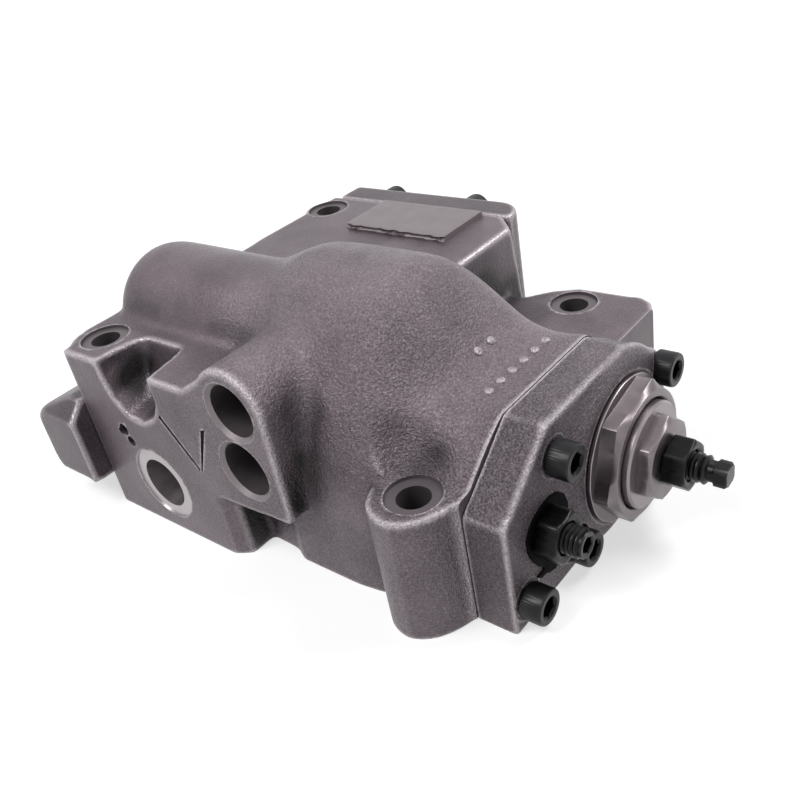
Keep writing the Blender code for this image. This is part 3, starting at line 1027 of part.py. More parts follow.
def make_check_valve():
    seat_left = CHECK_SEAT_Y - CHECK_SEAT_THICKNESS
    seat = turned_ring("check_seat", [(seat_left, CHECK_SEAT_HOLE_R), (seat_left, CHECK_BORE_R),
                                      (CHECK_SEAT_Y, CHECK_BORE_R), (CHECK_SEAT_Y, CHECK_SEAT_HOLE_R)], 20)
    seat.data.transform(Matrix.Rotation(pi / 2, 4, "Z"))
    finish(seat, (CHECK_X, 0, CHECK_Z), "steel")
    rest = sqrt(CHECK_BALL_R ** 2 - CHECK_SEAT_HOLE_R ** 2)
    shape = bmesh.new()
    bmesh.ops.create_uvsphere(shape, u_segments=16, v_segments=10, radius=CHECK_BALL_R)
    ball = new_object("check_ball", shape)
    ball_y = CHECK_SEAT_Y + rest + GAP
    finish(ball, (CHECK_X, ball_y, CHECK_Z), "steel")
    stop_start = ball_y + CHECK_BALL_R + CHECK_TRAVEL + GAP
    nose_end = stop_start + STOPPER_NOSE_LENGTH
    stopper = turned("check_stopper", [(stop_start, STOPPER_NOSE_R), (nose_end, STOPPER_NOSE_R),
                                       (nose_end, CHECK_BORE_R), (BLOCK_BACK_Y, CHECK_BORE_R)], 20)
    stopper.data.transform(Matrix.Rotation(pi / 2, 4, "Z"))
    finish(stopper, (CHECK_X, 0, CHECK_Z), "steel")


remove_scene_objects()
make_casing()
make_adjuster_cover()
make_pilot_cover()
make_rear_cover()
make_adjusters()
make_compensator()
make_pilot()
make_servo()
make_levers()
make_seals()
make_check_valve()
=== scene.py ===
import math

import bmesh
import bpy
from mathutils import Matrix, Vector
from mathutils.bvhtree import BVHTree


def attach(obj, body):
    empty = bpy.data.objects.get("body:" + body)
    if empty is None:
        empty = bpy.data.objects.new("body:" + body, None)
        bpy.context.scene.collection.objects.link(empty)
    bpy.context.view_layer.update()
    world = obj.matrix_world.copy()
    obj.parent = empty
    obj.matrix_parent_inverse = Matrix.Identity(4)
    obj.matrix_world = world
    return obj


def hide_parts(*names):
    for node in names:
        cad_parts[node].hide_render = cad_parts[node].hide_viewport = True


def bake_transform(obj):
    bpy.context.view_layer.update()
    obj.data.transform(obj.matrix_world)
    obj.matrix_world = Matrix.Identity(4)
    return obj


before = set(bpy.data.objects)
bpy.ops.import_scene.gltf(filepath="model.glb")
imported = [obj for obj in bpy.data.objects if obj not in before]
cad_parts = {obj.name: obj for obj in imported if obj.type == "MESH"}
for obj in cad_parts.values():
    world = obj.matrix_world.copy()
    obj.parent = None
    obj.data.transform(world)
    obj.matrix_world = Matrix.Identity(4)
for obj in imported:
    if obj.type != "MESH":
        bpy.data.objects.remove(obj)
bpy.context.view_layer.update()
corner = Vector((0.0065, 0.0635, 0.0))   # from the casing's front left foot to the model's origin
mm = 0.001
weld = 0.000002                          # points nearer than this become one, metres


def at(x, y, z):                         # millimetres from the casing's front left foot
    return Vector((x, y, z)) * mm - corner


def drawn(point):                        # the way back: a point's millimetres from that foot
    return (point + corner) * 1000


def activate(piece):
    if bpy.context.object and bpy.context.object.mode != "OBJECT":
        bpy.ops.object.mode_set(mode="OBJECT")
    bpy.ops.object.select_all(action="DESELECT")
    piece.select_set(True)
    bpy.context.view_layer.objects.active = piece


def nameIt(piece, name):
    piece.name = name
    piece.data.name = name
    return piece


def bakePlace(piece):                    # puts the piece's place into its mesh
    activate(piece)
    bpy.ops.object.transform_apply(location=True, rotation=True, scale=True)
    return piece


def applyModifier(piece, kind, **settings):
    activate(piece)
    modifier = piece.modifiers.new(kind.lower(), kind)
    for key, value in settings.items():
        setattr(modifier, key, value)
    bpy.ops.object.modifier_apply(modifier=modifier.name)
    return piece


def joinPieces(pieces, name):
    activate(pieces[0])
    for piece in pieces:
        piece.select_set(True)
    bpy.ops.object.join()
    return nameIt(bpy.context.object, name)


def meltDoubles(piece):
    activate(piece)
    bpy.ops.object.mode_set(mode="EDIT")
    bpy.ops.mesh.select_all(action="SELECT")
    bpy.ops.mesh.remove_doubles(threshold=weld)
    bpy.ops.mesh.dissolve_degenerate(threshold=weld)
    bpy.ops.object.mode_set(mode="OBJECT")
    return piece


def copyNode(node, name):                # a welded copy of a CAD node's mesh
    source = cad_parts[node]
    mesh = source.data.copy()
    piece = bpy.data.objects.new(name, mesh)
    bpy.context.scene.collection.objects.link(piece)
    piece.matrix_world = source.matrix_world
    mesh.materials.clear()
    bakePlace(piece)
    return meltDoubles(nameIt(piece, name))


turns = {"X": (0, math.pi / 2, 0), "Y": (-math.pi / 2, 0, 0), "Z": (0, 0, 0)}   # from Z to each axis


def rod(axis, centre, start, end, radius, sides=48):   # a bar along one axis
    middle = (start + end) / 2
    places = {"X": (middle, *centre), "Y": (centre[0], middle, centre[1]), "Z": (*centre, middle)}
    bpy.ops.mesh.primitive_cylinder_add(vertices=sides, radius=radius * mm, depth=abs(end - start) * mm)
    piece = nameIt(bpy.context.object, "rod")
    piece.rotation_euler = turns[axis]
    piece.location = at(*places[axis])
    return bakePlace(piece)


def box(low, high, name="box"):
    bpy.ops.mesh.primitive_cube_add(size=1)
    piece = nameIt(bpy.context.object, name)
    lowPoint, highPoint = at(*low), at(*high)
    piece.scale = highPoint - lowPoint
    piece.location = (lowPoint + highPoint) / 2
    return bakePlace(piece)


def turned(name, rows, centre, axis="X", sides=64):   # (distance along the axis, radius) rows, spun round it
    mesh = bpy.data.meshes.new(name)
    mesh.from_pydata([(radius * mm, 0, along * mm) for along, radius in rows],
                     [(i, i + 1) for i in range(len(rows) - 1)], [])
    piece = bpy.data.objects.new(name, mesh)
    bpy.context.scene.collection.objects.link(piece)
    activate(piece)
    bpy.ops.object.mode_set(mode="EDIT")
    bpy.ops.mesh.select_all(action="SELECT")
    bpy.ops.mesh.spin(steps=sides, angle=2 * math.pi, center=(0, 0, 0), axis=(0, 0, 1))
    bpy.ops.mesh.select_all(action="SELECT")
    bpy.ops.mesh.remove_doubles(threshold=weld)
    bpy.ops.mesh.normals_make_consistent(inside=False)
    bpy.ops.object.mode_set(mode="OBJECT")
    piece.rotation_euler = turns[axis]
    places = {"X": (0, *centre), "Y": (centre[0], 0, centre[1]), "Z": (*centre, 0)}
    piece.location = at(*places[axis])
    return bakePlace(piece)


def cutAway(piece, cutters, material=None):   # the cut faces take the material
    tool = joinPieces(cutters, "cutter") if len(cutters) > 1 else cutters[0]
    if material:
        tool.data.materials.clear()
        tool.data.materials.append(material)
    applyModifier(piece, "BOOLEAN", operation="DIFFERENCE", solver="MANIFOLD", object=tool,
                  material_mode="TRANSFER")
    bpy.data.objects.remove(tool)
    return meltDoubles(piece)


def bevelEdges(piece, width, degrees=25):
    return applyModifier(piece, "BEVEL", width=width * mm, segments=2, limit_method="ANGLE",
                         angle_limit=math.radians(degrees))


def smoothShade(piece, degrees=32):      # sharper edges stay crisp
    activate(piece)
    bpy.ops.object.shade_smooth_by_angle(angle=math.radians(degrees))
    return piece


def coat(piece, material):               # one finish all over
    piece.data.materials.clear()
    piece.data.materials.append(material)
    piece.data.polygons.foreach_set("material_index", [0] * len(piece.data.polygons))
    piece.data.update()


def present(piece, body, nodes, material=None):   # coats a finished piece, attaches it to its body and hides the nodes it stands in for
    if material:
        coat(piece, material)
    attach(piece, body)
    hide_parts(*nodes)
    return piece


def ramp(value, low, high):              # eases from 0 at low to 1 at high
    share = min(max((value - low) / (high - low), 0.0), 1.0)
    return share * share * (3 - 2 * share)


def everywhere(x, y, z):
    return 1.0


def smoothWhere(piece, weightAt, rounds, steps=12):   # relaxes the surface where weightAt says so
    group = piece.vertex_groups.new(name="relax")
    bins = {}
    for vertex in piece.data.vertices:
        level = round(weightAt(*drawn(vertex.co)) * steps)
        if level:
            bins.setdefault(level, []).append(vertex.index)
    for level, found in bins.items():
        group.add(found, level / steps, "REPLACE")
    applyModifier(piece, "SMOOTH", factor=0.5, iterations=rounds, vertex_group=group.name)
    piece.vertex_groups.clear()
    return piece


# the rays that measure how shut in each point is, for the shade painted into recesses
recessShading = {
    "looks": 24,                  # taken round each point
    "reach": 0.035,               # how far a look goes, metres
    "lift": 0.0004,               # where it starts above the surface, metres
    "flattest": 0.15,             # flatter looks don't count
    "rounds": 6,                  # evening out between neighbours
}


def paintRecessShade(piece):                 # how shut in each point is, kept as an attribute for the painted shade there: recesses are darkened in the colour as ambient occlusion would shade them
    mesh = piece.data
    tree = BVHTree.FromPolygons([v.co for v in mesh.vertices], [tuple(p.vertices) for p in mesh.polygons])
    ways = []
    for i in range(recessShading["looks"]):
        height = 1 - (i + 0.5) / (recessShading["looks"] / 2)
        angle = i * 2.39996              # the golden angle spreads them evenly
        ring = math.sqrt(1 - height * height)
        ways.append(Vector((ring * math.cos(angle), ring * math.sin(angle), height)))
    shut = []
    for vertex in mesh.vertices:
        start = vertex.co + vertex.normal * recessShading["lift"]
        total = hidden = 0.0
        for way in ways:
            facing = way.dot(vertex.normal)
            if facing > recessShading["flattest"]:
                total += facing
                if tree.ray_cast(start, way, recessShading["reach"])[0]:
                    hidden += facing
        shut.append(hidden / total if total else 0.0)
    links = [(edge.vertices[0], edge.vertices[1]) for edge in mesh.edges]
    for lap in range(recessShading["rounds"]):
        sums, counts = shut[:], [1] * len(shut)
        for a, b in links:
            sums[a] += shut[b]
            sums[b] += shut[a]
            counts[a] += 1
            counts[b] += 1
        shut = [value / count for value, count in zip(sums, counts)]
    mesh.attributes.new("paintedShade", "FLOAT", "POINT").data.foreach_set("value", shut)
    return piece


def linear(code):                        # a hex colour as linear light
    parts = [int(code[i:i + 2], 16) / 255 for i in (1, 3, 5)]
    return (*[c / 12.92 if c <= 0.04045 else ((c + 0.055) / 1.055) ** 2.4 for c in parts], 1)


def addNode(material, kind, links=None, inputs=None, **settings):   # for a material or a world
    tree = material.node_tree
    node = tree.nodes.new(kind)
    for key, value in settings.items():
        setattr(node, key, value)
    for socket, value in (inputs or {}).items():
        node.inputs[socket].default_value = value
    for socket, source in (links or {}).items():
        tree.links.new(source, node.inputs[socket])
    return node


def newFinish(name, colour, metallic, roughness):
    material = bpy.data.materials.new(name)
    material.use_nodes = True
    shader = material.node_tree.nodes["Principled BSDF"]
    shader.inputs["Base Color"].default_value = linear(colour)
    shader.inputs["Metallic"].default_value = metallic
    shader.inputs["Roughness"].default_value = roughness
    return material, shader


def place(material):                     # metres, in the model's own frame
    return addNode(material, "ShaderNodeTexCoord").outputs["Object"]


def noise(material, coord, size, detail=2.0, rough=0.5):      # size of one blotch in millimetres
    return addNode(material, "ShaderNodeTexNoise", {"Vector": coord},
                   {"Scale": 1000 / size, "Detail": detail, "Roughness": rough}).outputs["Fac"]


def spread(material, value, low, high, toLow=0.0, toHigh=1.0):
    return addNode(material, "ShaderNodeMapRange", {"Value": value},
                   {"From Min": low, "From Max": high, "To Min": toLow, "To Max": toHigh}).outputs["Result"]


def reckon(material, operation, first, second):
    node = addNode(material, "ShaderNodeMath", operation=operation)
    for socket, value in zip(node.inputs, (first, second)):
        if isinstance(value, (int, float)):
            socket.default_value = value
        else:
            material.node_tree.links.new(value, socket)
    return node.outputs["Value"]


def blendColours(material, share, first, second):
    node = addNode(material, "ShaderNodeMix", data_type="RGBA")
    material.node_tree.links.new(share, node.inputs[0])
    for socket, value in ((node.inputs[6], first), (node.inputs[7], second)):
        if isinstance(value, str):
            socket.default_value = linear(value)
        else:
            material.node_tree.links.new(value, socket)
    return node.outputs[2]


def feed(material, socket, source):
    material.node_tree.links.new(source, socket)


def rubbing(material, low, high):        # 0 on flats and hollows, 1 on sharp edges
    return spread(material, addNode(material, "ShaderNodeNewGeometry").outputs["Pointiness"], low, high)


def rise(material, height, distance, strength=1.0):   # relief, its height in millimetres
    return addNode(material, "ShaderNodeBump", {"Height": height},
                   {"Distance": distance * mm, "Strength": strength}).outputs["Normal"]


def sandCastFinish(name, shade, plain):  # phosphated grey iron: orange-peel grain, sparkle, edges rubbed bright, partly worn metal and partly a painted highlight; painted shade in the recesses
    look = {
        "rubbed": "#d2c9ce", "paintedShade": "#141213", "metallic": 0.4, "shine": 0.4,
        "grain": 0.5, "peel": 1.0, "sand": 0.6, "fleck": 0.3, "blotch": 24.0,   # sizes, millimetres
        "grainShare": 0.7, "relief": 0.5, "roughness": (0.24, 0.44),
        "edge": (0.507, 0.538), "edgeWearAndHighlight": 0.9, "topRub": 0.26,
        "recessShade": (0.11, 0.34), "recessShadeDepth": 0.95,
        "seam": 0.1285, "seamBand": (0.0012, 0.0004), "seamWearAndHighlight": 0.9,           # the cover joint, metres
    }
    material, shader = newFinish(name, plain, look["metallic"], 0.42)
    shader.inputs["Specular IOR Level"].default_value = look["shine"]
    coord = place(material)
    parts = addNode(material, "ShaderNodeSeparateXYZ", {"Vector": coord}).outputs
    rough = spread(material, parts["X"], 0.035, 0.06, 0.3, 1.0)   # the adjuster half was cast coarser
    front = spread(material, parts["Y"], 0.03, 0.012, 0.3, 1.0)   # and the front coarser than the back
    coarse = reckon(material, "MULTIPLY", rough, front)
    grain = noise(material, coord, look["grain"], 3, 0.6)
    peel = noise(material, coord, look["peel"], 2)
    blotch = noise(material, coord, look["blotch"], 4, 0.6)
    fleck = noise(material, coord, look["fleck"], 1)
    height = reckon(material, "ADD", reckon(material, "MULTIPLY", grain, look["grainShare"]), peel)
    height = reckon(material, "MULTIPLY", height, coarse)
    # edges made lighter: partly rubbed bare metal, partly a painted highlight where convex edges catch the light
    rim = rubbing(material, *look["edge"])
    offSeam = reckon(material, "ABSOLUTE", reckon(material, "SUBTRACT", parts["X"], look["seam"]), 0)
    seam = spread(material, offSeam, *look["seamBand"], 0, look["seamWearAndHighlight"])   # its edges were knocked in handling, and the bright band is partly a painted highlight along the joint
    edge = reckon(material, "MAXIMUM", rim, reckon(material, "MULTIPLY", seam, coarse))
    edge = reckon(material, "MULTIPLY", edge, spread(material, grain, 0.35, 0.6, 0.4, 1.0))
    recessShade = addNode(material, "ShaderNodeAttribute", attribute_name="paintedShade").outputs["Fac"]
    base = blendColours(material, spread(material, blotch, 0.35, 0.65), shade, plain)
    sand = noise(material, coord, look["sand"], 3, 0.7)
    tops = reckon(material, "MULTIPLY", spread(material, sand, 0.45, 0.7, 0, look["topRub"]), coarse)
    base = blendColours(material, tops, base, look["rubbed"])
    # painted shade: the more shut in a point is, the nearer its colour comes to the dark shade colour
    base = blendColours(material, spread(material, recessShade, *look["recessShade"], 0, look["recessShadeDepth"]), base, look["paintedShade"])
    wearAndHighlight = reckon(material, "MULTIPLY", edge, look["edgeWearAndHighlight"])
    feed(material, shader.inputs["Base Color"], blendColours(material, wearAndHighlight, base, look["rubbed"]))
    feed(material, shader.inputs["Roughness"], spread(material, fleck, 0.3, 0.7, *look["roughness"]))
    feed(material, shader.inputs["Normal"], rise(material, height, look["relief"]))
    return material


def cutFinish(name, colour, low, high, metallic=0.9, lines=0.35):   # fine cutter marks, dulled by oil in clouds
    material, shader = newFinish(name, colour, metallic, low)
    coord = place(material)
    drawnOut = addNode(material, "ShaderNodeMapping", {"Vector": coord}, {"Scale": (1.0, 3.0, 1.0)})
    marks = noise(material, drawnOut.outputs["Vector"], lines, 2)
    oil = noise(material, coord, 6.0, 3)
    feed(material, shader.inputs["Roughness"], spread(material, oil, 0.3, 0.7, low, high))
    feed(material, shader.inputs["Normal"], rise(material, marks, 0.02, 0.5))
    return material


# a smooth cloudy coat
def wornFinish(name, plain, shade, rubbed, metallic, low, high, size=3.0, shine=0.5):
    material, shader = newFinish(name, plain, metallic, low)
    coord = place(material)
    cloud = noise(material, coord, size, 4, 0.6)
    fine = noise(material, coord, 0.3, 2)
    edge = rubbing(material, 0.52, 0.62)
    base = blendColours(material, spread(material, cloud, 0.35, 0.65), shade, plain)
    thin = reckon(material, "MULTIPLY", edge, 0.5)                # the coat is thinner on its edges
    feed(material, shader.inputs["Base Color"], blendColours(material, thin, base, rubbed))
    feed(material, shader.inputs["Roughness"], spread(material, cloud, 0.3, 0.7, low, high))
    feed(material, shader.inputs["Normal"], rise(material, fine, 0.01, 0.4))
    shader.inputs["Specular IOR Level"].default_value = shine
    return material


# phosphated sand castings: dark, faintly purple, pebbled skin that sparkles; the covers a shade darker
sandCastIron = sandCastFinish("sandCastIron", "#574c53", "#70646b")
coverCastIron = sandCastFinish("coverCastIron", "#4a4147", "#5e545a")
# bright cut metal with fine lines: the port face and the covers' holes
millCutIron = cutFinish("millCutIron", "#b3adaf", 0.26, 0.4)
# dull oily grey that falls into shadow: deep bores
boredIron = cutFinish("boredIron", "#676163", 0.34, 0.5, 0.6)
# matt mid grey, flat beside the rough skin: faces cut before the phosphate bath
spotFacedIron = cutFinish("spotFacedIron", "#676064", 0.38, 0.5, 0.5)
# a paler, even, satin patch with fine lines: the nameplate pad and the upper ports' chamfers
labelPadIron = cutFinish("labelPadIron", "#847c7f", 0.36, 0.5, 0.5, 0.8)
# zinc plate: satin grey metal with soft broad gleams
zincPlate = wornFinish("zincPlate", "#776f72", "#6f676a", "#c4bcbe", 0.85, 0.3, 0.38, 9.0)
# oiled black oxide: near black with a low gleam, greyer on its corners
blackOxide = wornFinish("blackOxide", "#0b0b0d", "#08080a", "#6a6a6e", 0.1, 0.26, 0.38, shine=0.2)
# brushed paint: a dull black patch with hardly a gleam
tamperPaint = wornFinish("tamperPaint", "#020203", "#010101", "#060607", 0.0, 0.6, 0.7, shine=0.05)
# hardened and ground steel: clear bright gleams on the valve parts
groundSteel = cutFinish("groundSteel", "#a5a5a8", 0.16, 0.3, 1.0, 0.25)
# spring wire: dark grey metal, lighter where it rubs
springSteel = wornFinish("springSteel", "#4a4a4e", "#38383b", "#8a8a8e", 0.9, 0.26, 0.4, 2.0)
# moulded rubber: soft matt black
nitrileRubber = wornFinish("nitrileRubber", "#151515", "#101010", "#202020", 0.0, 0.5, 0.65)

# places that the pieces share, millimetres
endX, deckZ, backY, lugZ = 135.0, 58.0, 126.5, 38.0
compLine, pilotLine, servoLine = (70.0, 21.5), (31.0, 21.5), (43.0, 53.5)
mounts = {"a": (6.9, 11.5, deckZ), "b": (6.1, 115.5, deckZ), "c": (110.7, 112.5, lugZ), "d": (123.2, 12.1, lugZ)}
coverScrews = ((20.5, 7.2), (43.5, 7.5), (38.0, 39.5), (93.8, 33.5), (93.8, 8.5))
pilotScrews = ((20.3, 30.5), (49.0, 15.0), (49.0, 33.0), (90.5, 25.0))
rearScrews = ((16.5, 52.0), (54.5, 52.0), (16.5, 14.0), (66.0, 14.0))

print("stage: casing")
casing = {
    "grainSize": 0.9,             # voxel, millimetres
    "fill": 0.7,                  # how much wider a plug is than its bore
    "overrun": 4.0,               # spare stock on the faces that are milled flat
    "edgeRounds": 7,              # smoothing of plain cast edges
    "bodyRounds": 60,             # smoothing of the hump and its fillets
    "spotFace": (7.5, 0.9),       # radius and depth round a mounting hole
    "chamfer": 1.1,               # of the two upper ports
    "markDepth": 0.7,             # of the V cast into the port face
}
# axis, centre, start, end, radius: the holes of the casing
mainBores = [("X", compLine, 0, 60, 11.3), ("X", servoLine, -5, 8, 10.3), ("X", pilotLine, 0, 86, 7.5)]
innerBores = [("X", compLine, 59, 86, 6.0), ("X", servoLine, 7, 86, 8.3), ("X", pilotLine, 106, endX, 7.5),
              ("X", compLine, 106, endX, 16.3)]
ports = [("Y", (76.5, 56.0), 0, 20, 7.8), ("Y", (75.0, 37.0), 0, 20, 8.3), ("Y", (30.5, 17.2), 0, 20, 8.5)]
# these are filled and stay so, as they can't be seen from outside
crossDrillings = [("Y", (30.5, 20.5), 18, 31, 2.5), ("Y", (76.5, 53.5), 18, 38.5, 2.5),
                  ("Y", (40.0, 33.0), 70, 100, 2.5), ("Y", (96.0, 46.0), 71.5, 84, 6.3)]
passages = [("Z", (45.0, 70.0), 0, 21.5, 3.0), ("Z", (55.0, 31.0), 0, 21.5, 3.0)]
checkBore = [("Y", (40.0, 33.0), 95.7, backY, 5.3)]
tapped = [("X", centre, 123, endX, 3.3) for centre in coverScrews]
tapped += [("X", centre, 0, 12, 3.3) for centre in pilotScrews]
tapped += [("Y", centre, 114.5, backY, 3.3) for centre in rearScrews]
screwHoles = [("Z", (x, y), 0, top, 4.5) for x, y, top in mounts.values()]


def plugs(holes, extra):
    return [rod(axis, centre, start, end, radius + extra, 24) for axis, centre, start, end, radius in holes]


def drills(holes, run=2.0):              # each runs out past an open end
    made = []
    for axis, centre, start, end, radius in holes:
        low = start - run if start <= 0 else start
        high = end + run if end in (endX, backY, deckZ, lugZ) else end
        made.append(rod(axis, centre, low, high, radius))
    return made


def slab(name, outline, axis, start, end):   # an outline swept along one axis, millimetres
    spots = {"X": lambda a, b, t: at(t, a, b), "Y": lambda a, b, t: at(a, t, b),
             "Z": lambda a, b, t: at(a, b, t)}[axis]
    mesh = bpy.data.meshes.new(name)
    mesh.from_pydata([spots(a, b, start) for a, b in outline], [], [list(range(len(outline)))])
    piece = bpy.data.objects.new(name, mesh)
    bpy.context.scene.collection.objects.link(piece)
    activate(piece)
    bpy.ops.object.mode_set(mode="EDIT")
    bpy.ops.mesh.select_all(action="SELECT")
    shift = spots(0, 0, end) - spots(0, 0, start)
    bpy.ops.mesh.extrude_region_move(TRANSFORM_OT_translate={"value": shift})
    bpy.ops.mesh.select_all(action="SELECT")
    bpy.ops.mesh.normals_make_consistent(inside=False)
    bpy.ops.object.mode_set(mode="OBJECT")
    return piece


def chamberShape(grow):                  # the lever chamber, open below
    outline = [(26 - grow, -6), (26 - grow, 60 + grow), (52 + grow, 60 + grow), (60 + grow, 51 + grow),
               (73.5 + grow, 51 + grow), (73.5 + grow, 30.5), (76.5 + grow, 28.5), (76.5 + grow, -6)]
    return slab("chamber", outline, "X", 85 - grow, 107 + grow)


def pushFaces(piece, axis, level, distance):   # pulls a flat end outwards, as stock to mill off
    activate(piece)
    bpy.ops.object.mode_set(mode="EDIT")
    bpy.ops.mesh.select_mode(type="FACE")
    bpy.ops.mesh.select_all(action="DESELECT")
    shape = bmesh.from_edit_mesh(piece.data)
    wall = at(level, level, level)[axis]
    side = 1 if distance > 0 else -1
    for face in shape.faces:
        if face.normal[axis] * side > 0.999 and abs(face.calc_center_median()[axis] - wall) < 0.00002:
            face.select = True
    bmesh.update_edit_mesh(piece.data)
    shift = [0, 0, 0]
    shift[axis] = distance * mm
    bpy.ops.mesh.extrude_region_move(TRANSFORM_OT_translate={"value": shift})
    bpy.ops.object.mode_set(mode="OBJECT")
    return piece


def roundedWeight(x, y, z):              # 1 on the hump and its fillets, 0 on faces that stay crisp
    side = ramp(y, 3, 9) * (1 - ramp(y, 78, 86)) * (1 - ramp(x, 127, 134))
    if x < 64:
        side *= ramp(z, 56, 59) * ramp(y, 19, 25) * ramp(x, -3, 3)
    else:
        side *= ramp(z, 16, 30)
    lug = math.hypot(x - mounts["d"][0], y - mounts["d"][1])
    side *= max(ramp(lug, 10, 17), ramp(lug, 7.5, 9) * ramp(y, 13, 16))
    nook = ramp(x, 85, 90) * (1 - ramp(x, 98, 108)) * ramp(y, 80, 88) * (1 - ramp(y, 108, 116))
    return max(side, nook * ramp(z, 36, 38.5))


def keptEdge(x, y, z):                   # light smoothing everywhere, less in the front pocket
    pocket = ramp(x, 13, 16) * (1 - ramp(x, 44, 47)) * (1 - ramp(y, 18, 21)) * ramp(z, 36, 39)
    return 1.0 - 0.7 * pocket


casting = copyNode("casing", "casingCasting")
cutAway(casting, [box((26, 101.5, deckZ + 0.02), (71.5, backY + 0.5, deckZ + 4))])   # the pad is made apart
lugClearance = [(lugZ + 0.05, 0), (lugZ + 0.05, 8.8), (lugZ + 6, 12.3), (lugZ + 12, 14.3), (lugZ + 24, 15.0),
                (lugZ + 24, 0)]          # the hollow above the front right lug
cutAway(casting, [turned("lugClearance", lugClearance, mounts["d"][:2], "Z", 48)])
overrun = casing["overrun"]
pushFaces(casting, 0, endX, overrun)
lugTrim = [(124, -4), (124, 0.15), (127.3, 1.6), (130.0, 3.9), (132.1, 7.0), (133.7, 10.6), (134.8, 14.4),
           (141, 17.5), (141, -4)]       # rounds that lug's outer corner
cutAway(casting, [slab("lugTrim", lugTrim, "Z", -8, 46)])
pushFaces(casting, 2, 0.0, -overrun)
holes = mainBores + innerBores + ports + crossDrillings + passages + checkBore + tapped + screwHoles
stock = plugs(holes, casing["fill"])     # filled for the remesh; what shows is bored again after it
stock += [rod("X", centre, endX - 1, endX + overrun, 4.2, 24) for centre in coverScrews]
stock += [rod("X", compLine, endX - 1, endX + overrun, 17.2, 32)]
stock += [rod("X", pilotLine, endX - 1, endX + overrun, 8.4, 24)]
stock += [rod("Z", (x, y), top - 3, top, 8.0, 32) for x, y, top in mounts.values()]
stock += [rod("Z", (x, y), -4, 2, 5.4, 24) for x, y, top in mounts.values()]
stock += [rod("Z", centre, -4, 3, 6.9, 24) for centre in ((45.0, 70.0), (55.0, 31.0))]
stock += [rod("Y", (30.5, 17.2), 0, 2, 12.8, 32), rod("Y", (19.7, 32.6), 0, 12, 3.2, 24), chamberShape(0.8)]
casting = joinPieces([casting] + stock, "casingCasting")
applyModifier(casting, "REMESH", mode="VOXEL", voxel_size=casing["grainSize"] * mm)
smoothWhere(casting, keptEdge, casing["edgeRounds"])
smoothWhere(casting, roundedWeight, casing["bodyRounds"])
coat(casting, sandCastIron)
cutAway(casting, [box((endX, -20, -20), (endX + 20, 150, 90))], spotFacedIron)
cutAway(casting, [box((-30, -20, -20), (160, 150, 0))], spotFacedIron)
faceRadius, faceDepth = casing["spotFace"]
faces = [rod("Z", (x, y), top - faceDepth, top + (6 if x > 120 else 1.6), faceRadius)   # the cutter's room above
         for x, y, top in mounts.values()]
cutAway(casting, faces, spotFacedIron)
strokes = ([(41.8, 45.1), (42.9, 46.0), (54.2, 30.7), (53.3, 29.9)],
           [(60.9, 46.1), (63.0, 47.0), (54.7, 29.9), (54.2, 30.1)])    # the V cast into the port face
for stroke in [slab("mark", outline, "Y", -1.0, casing["markDepth"]) for outline in strokes]:
    cutAway(casting, [stroke], sandCastIron)
vent = ((19.2, 34.2, 9, 2.1), (21.1, 30.4, 7, 1.8), (17.4, 33.2, 2.5, 1.3))   # ragged: x, z, depth, radius
for x, z, depth, radius in vent:
    cutAway(casting, [rod("Y", (x, z), -2, depth, radius, 20)], boredIron)
port3Face = rod("Y", (30.5, 17.2), -3, 0.5, 12.2, 64)
chamfer = casing["chamfer"]
rims = [turned("rim", [(-1, 0), (-1, radius + chamfer + 1), (chamfer + 0.4, radius - 0.4), (chamfer + 0.4, 0)],
               centre, "Y") for axis, centre, start, end, radius in ports[:2]]
cutAway(casting, [port3Face], millCutIron)
cutAway(casting, drills(ports[2:]), millCutIron)
cutAway(casting, rims, labelPadIron)
cutAway(casting, drills(mainBores) + drills(ports[:2]) + drills(screwHoles), boredIron)
cutAway(casting, drills(innerBores) + drills(checkBore) + drills(tapped), boredIron)
cutAway(casting, [chamberShape(0.0)] + drills(passages), sandCastIron)
# measures how shut in each point is, for the shade painted into its recesses
paintRecessShade(smoothShade(casting))
present(casting, "casing", ["casing"])

print("stage: nameplate pad and foundry pips")
pad = {"x": (27.2, 70.3), "y": (102.7, 124.8), "top": 59.7, "foot": 57.2, "edge": 0.35, "ragged": 0.5, "wavy": 0.4}
plate = box((pad["x"][0], pad["y"][0], pad["foot"]), (pad["x"][1], pad["y"][1], pad["top"]), "nameplatePad")
activate(plate)
bpy.ops.object.mode_set(mode="EDIT")
bpy.ops.mesh.select_all(action="SELECT")
bpy.ops.mesh.subdivide(number_cuts=23)
bpy.ops.object.mode_set(mode="OBJECT")
for vertex in plate.data.vertices:       # the saw-rough front edge under the milled top
    x, y, z = drawn(vertex.co)
    if y < pad["y"][0] + 0.1 and z < pad["top"] - 0.1:
        vertex.co.y += pad["ragged"] * mm * math.sin(x * 1.9) * math.sin(x * 0.7 + z * 3.0)
        vertex.co.y += pad["wavy"] * mm * math.sin(z * 2.6)
bevelEdges(plate, pad["edge"], 50)
present(smoothShade(plate), "casing", [], labelPadIron)
surface = BVHTree.FromPolygons([vertex.co for vertex in casting.data.vertices],
                               [list(face.vertices) for face in casting.data.polygons])
pipLook = {"radius": 1.3, "flatness": 0.55,
           "rows": {118.0: (51.5, 57.5), 127.0: (42.0, 47.5, 53.0, 58.5, 64.0, 69.5)}}   # x, and the pips' y
pips = []
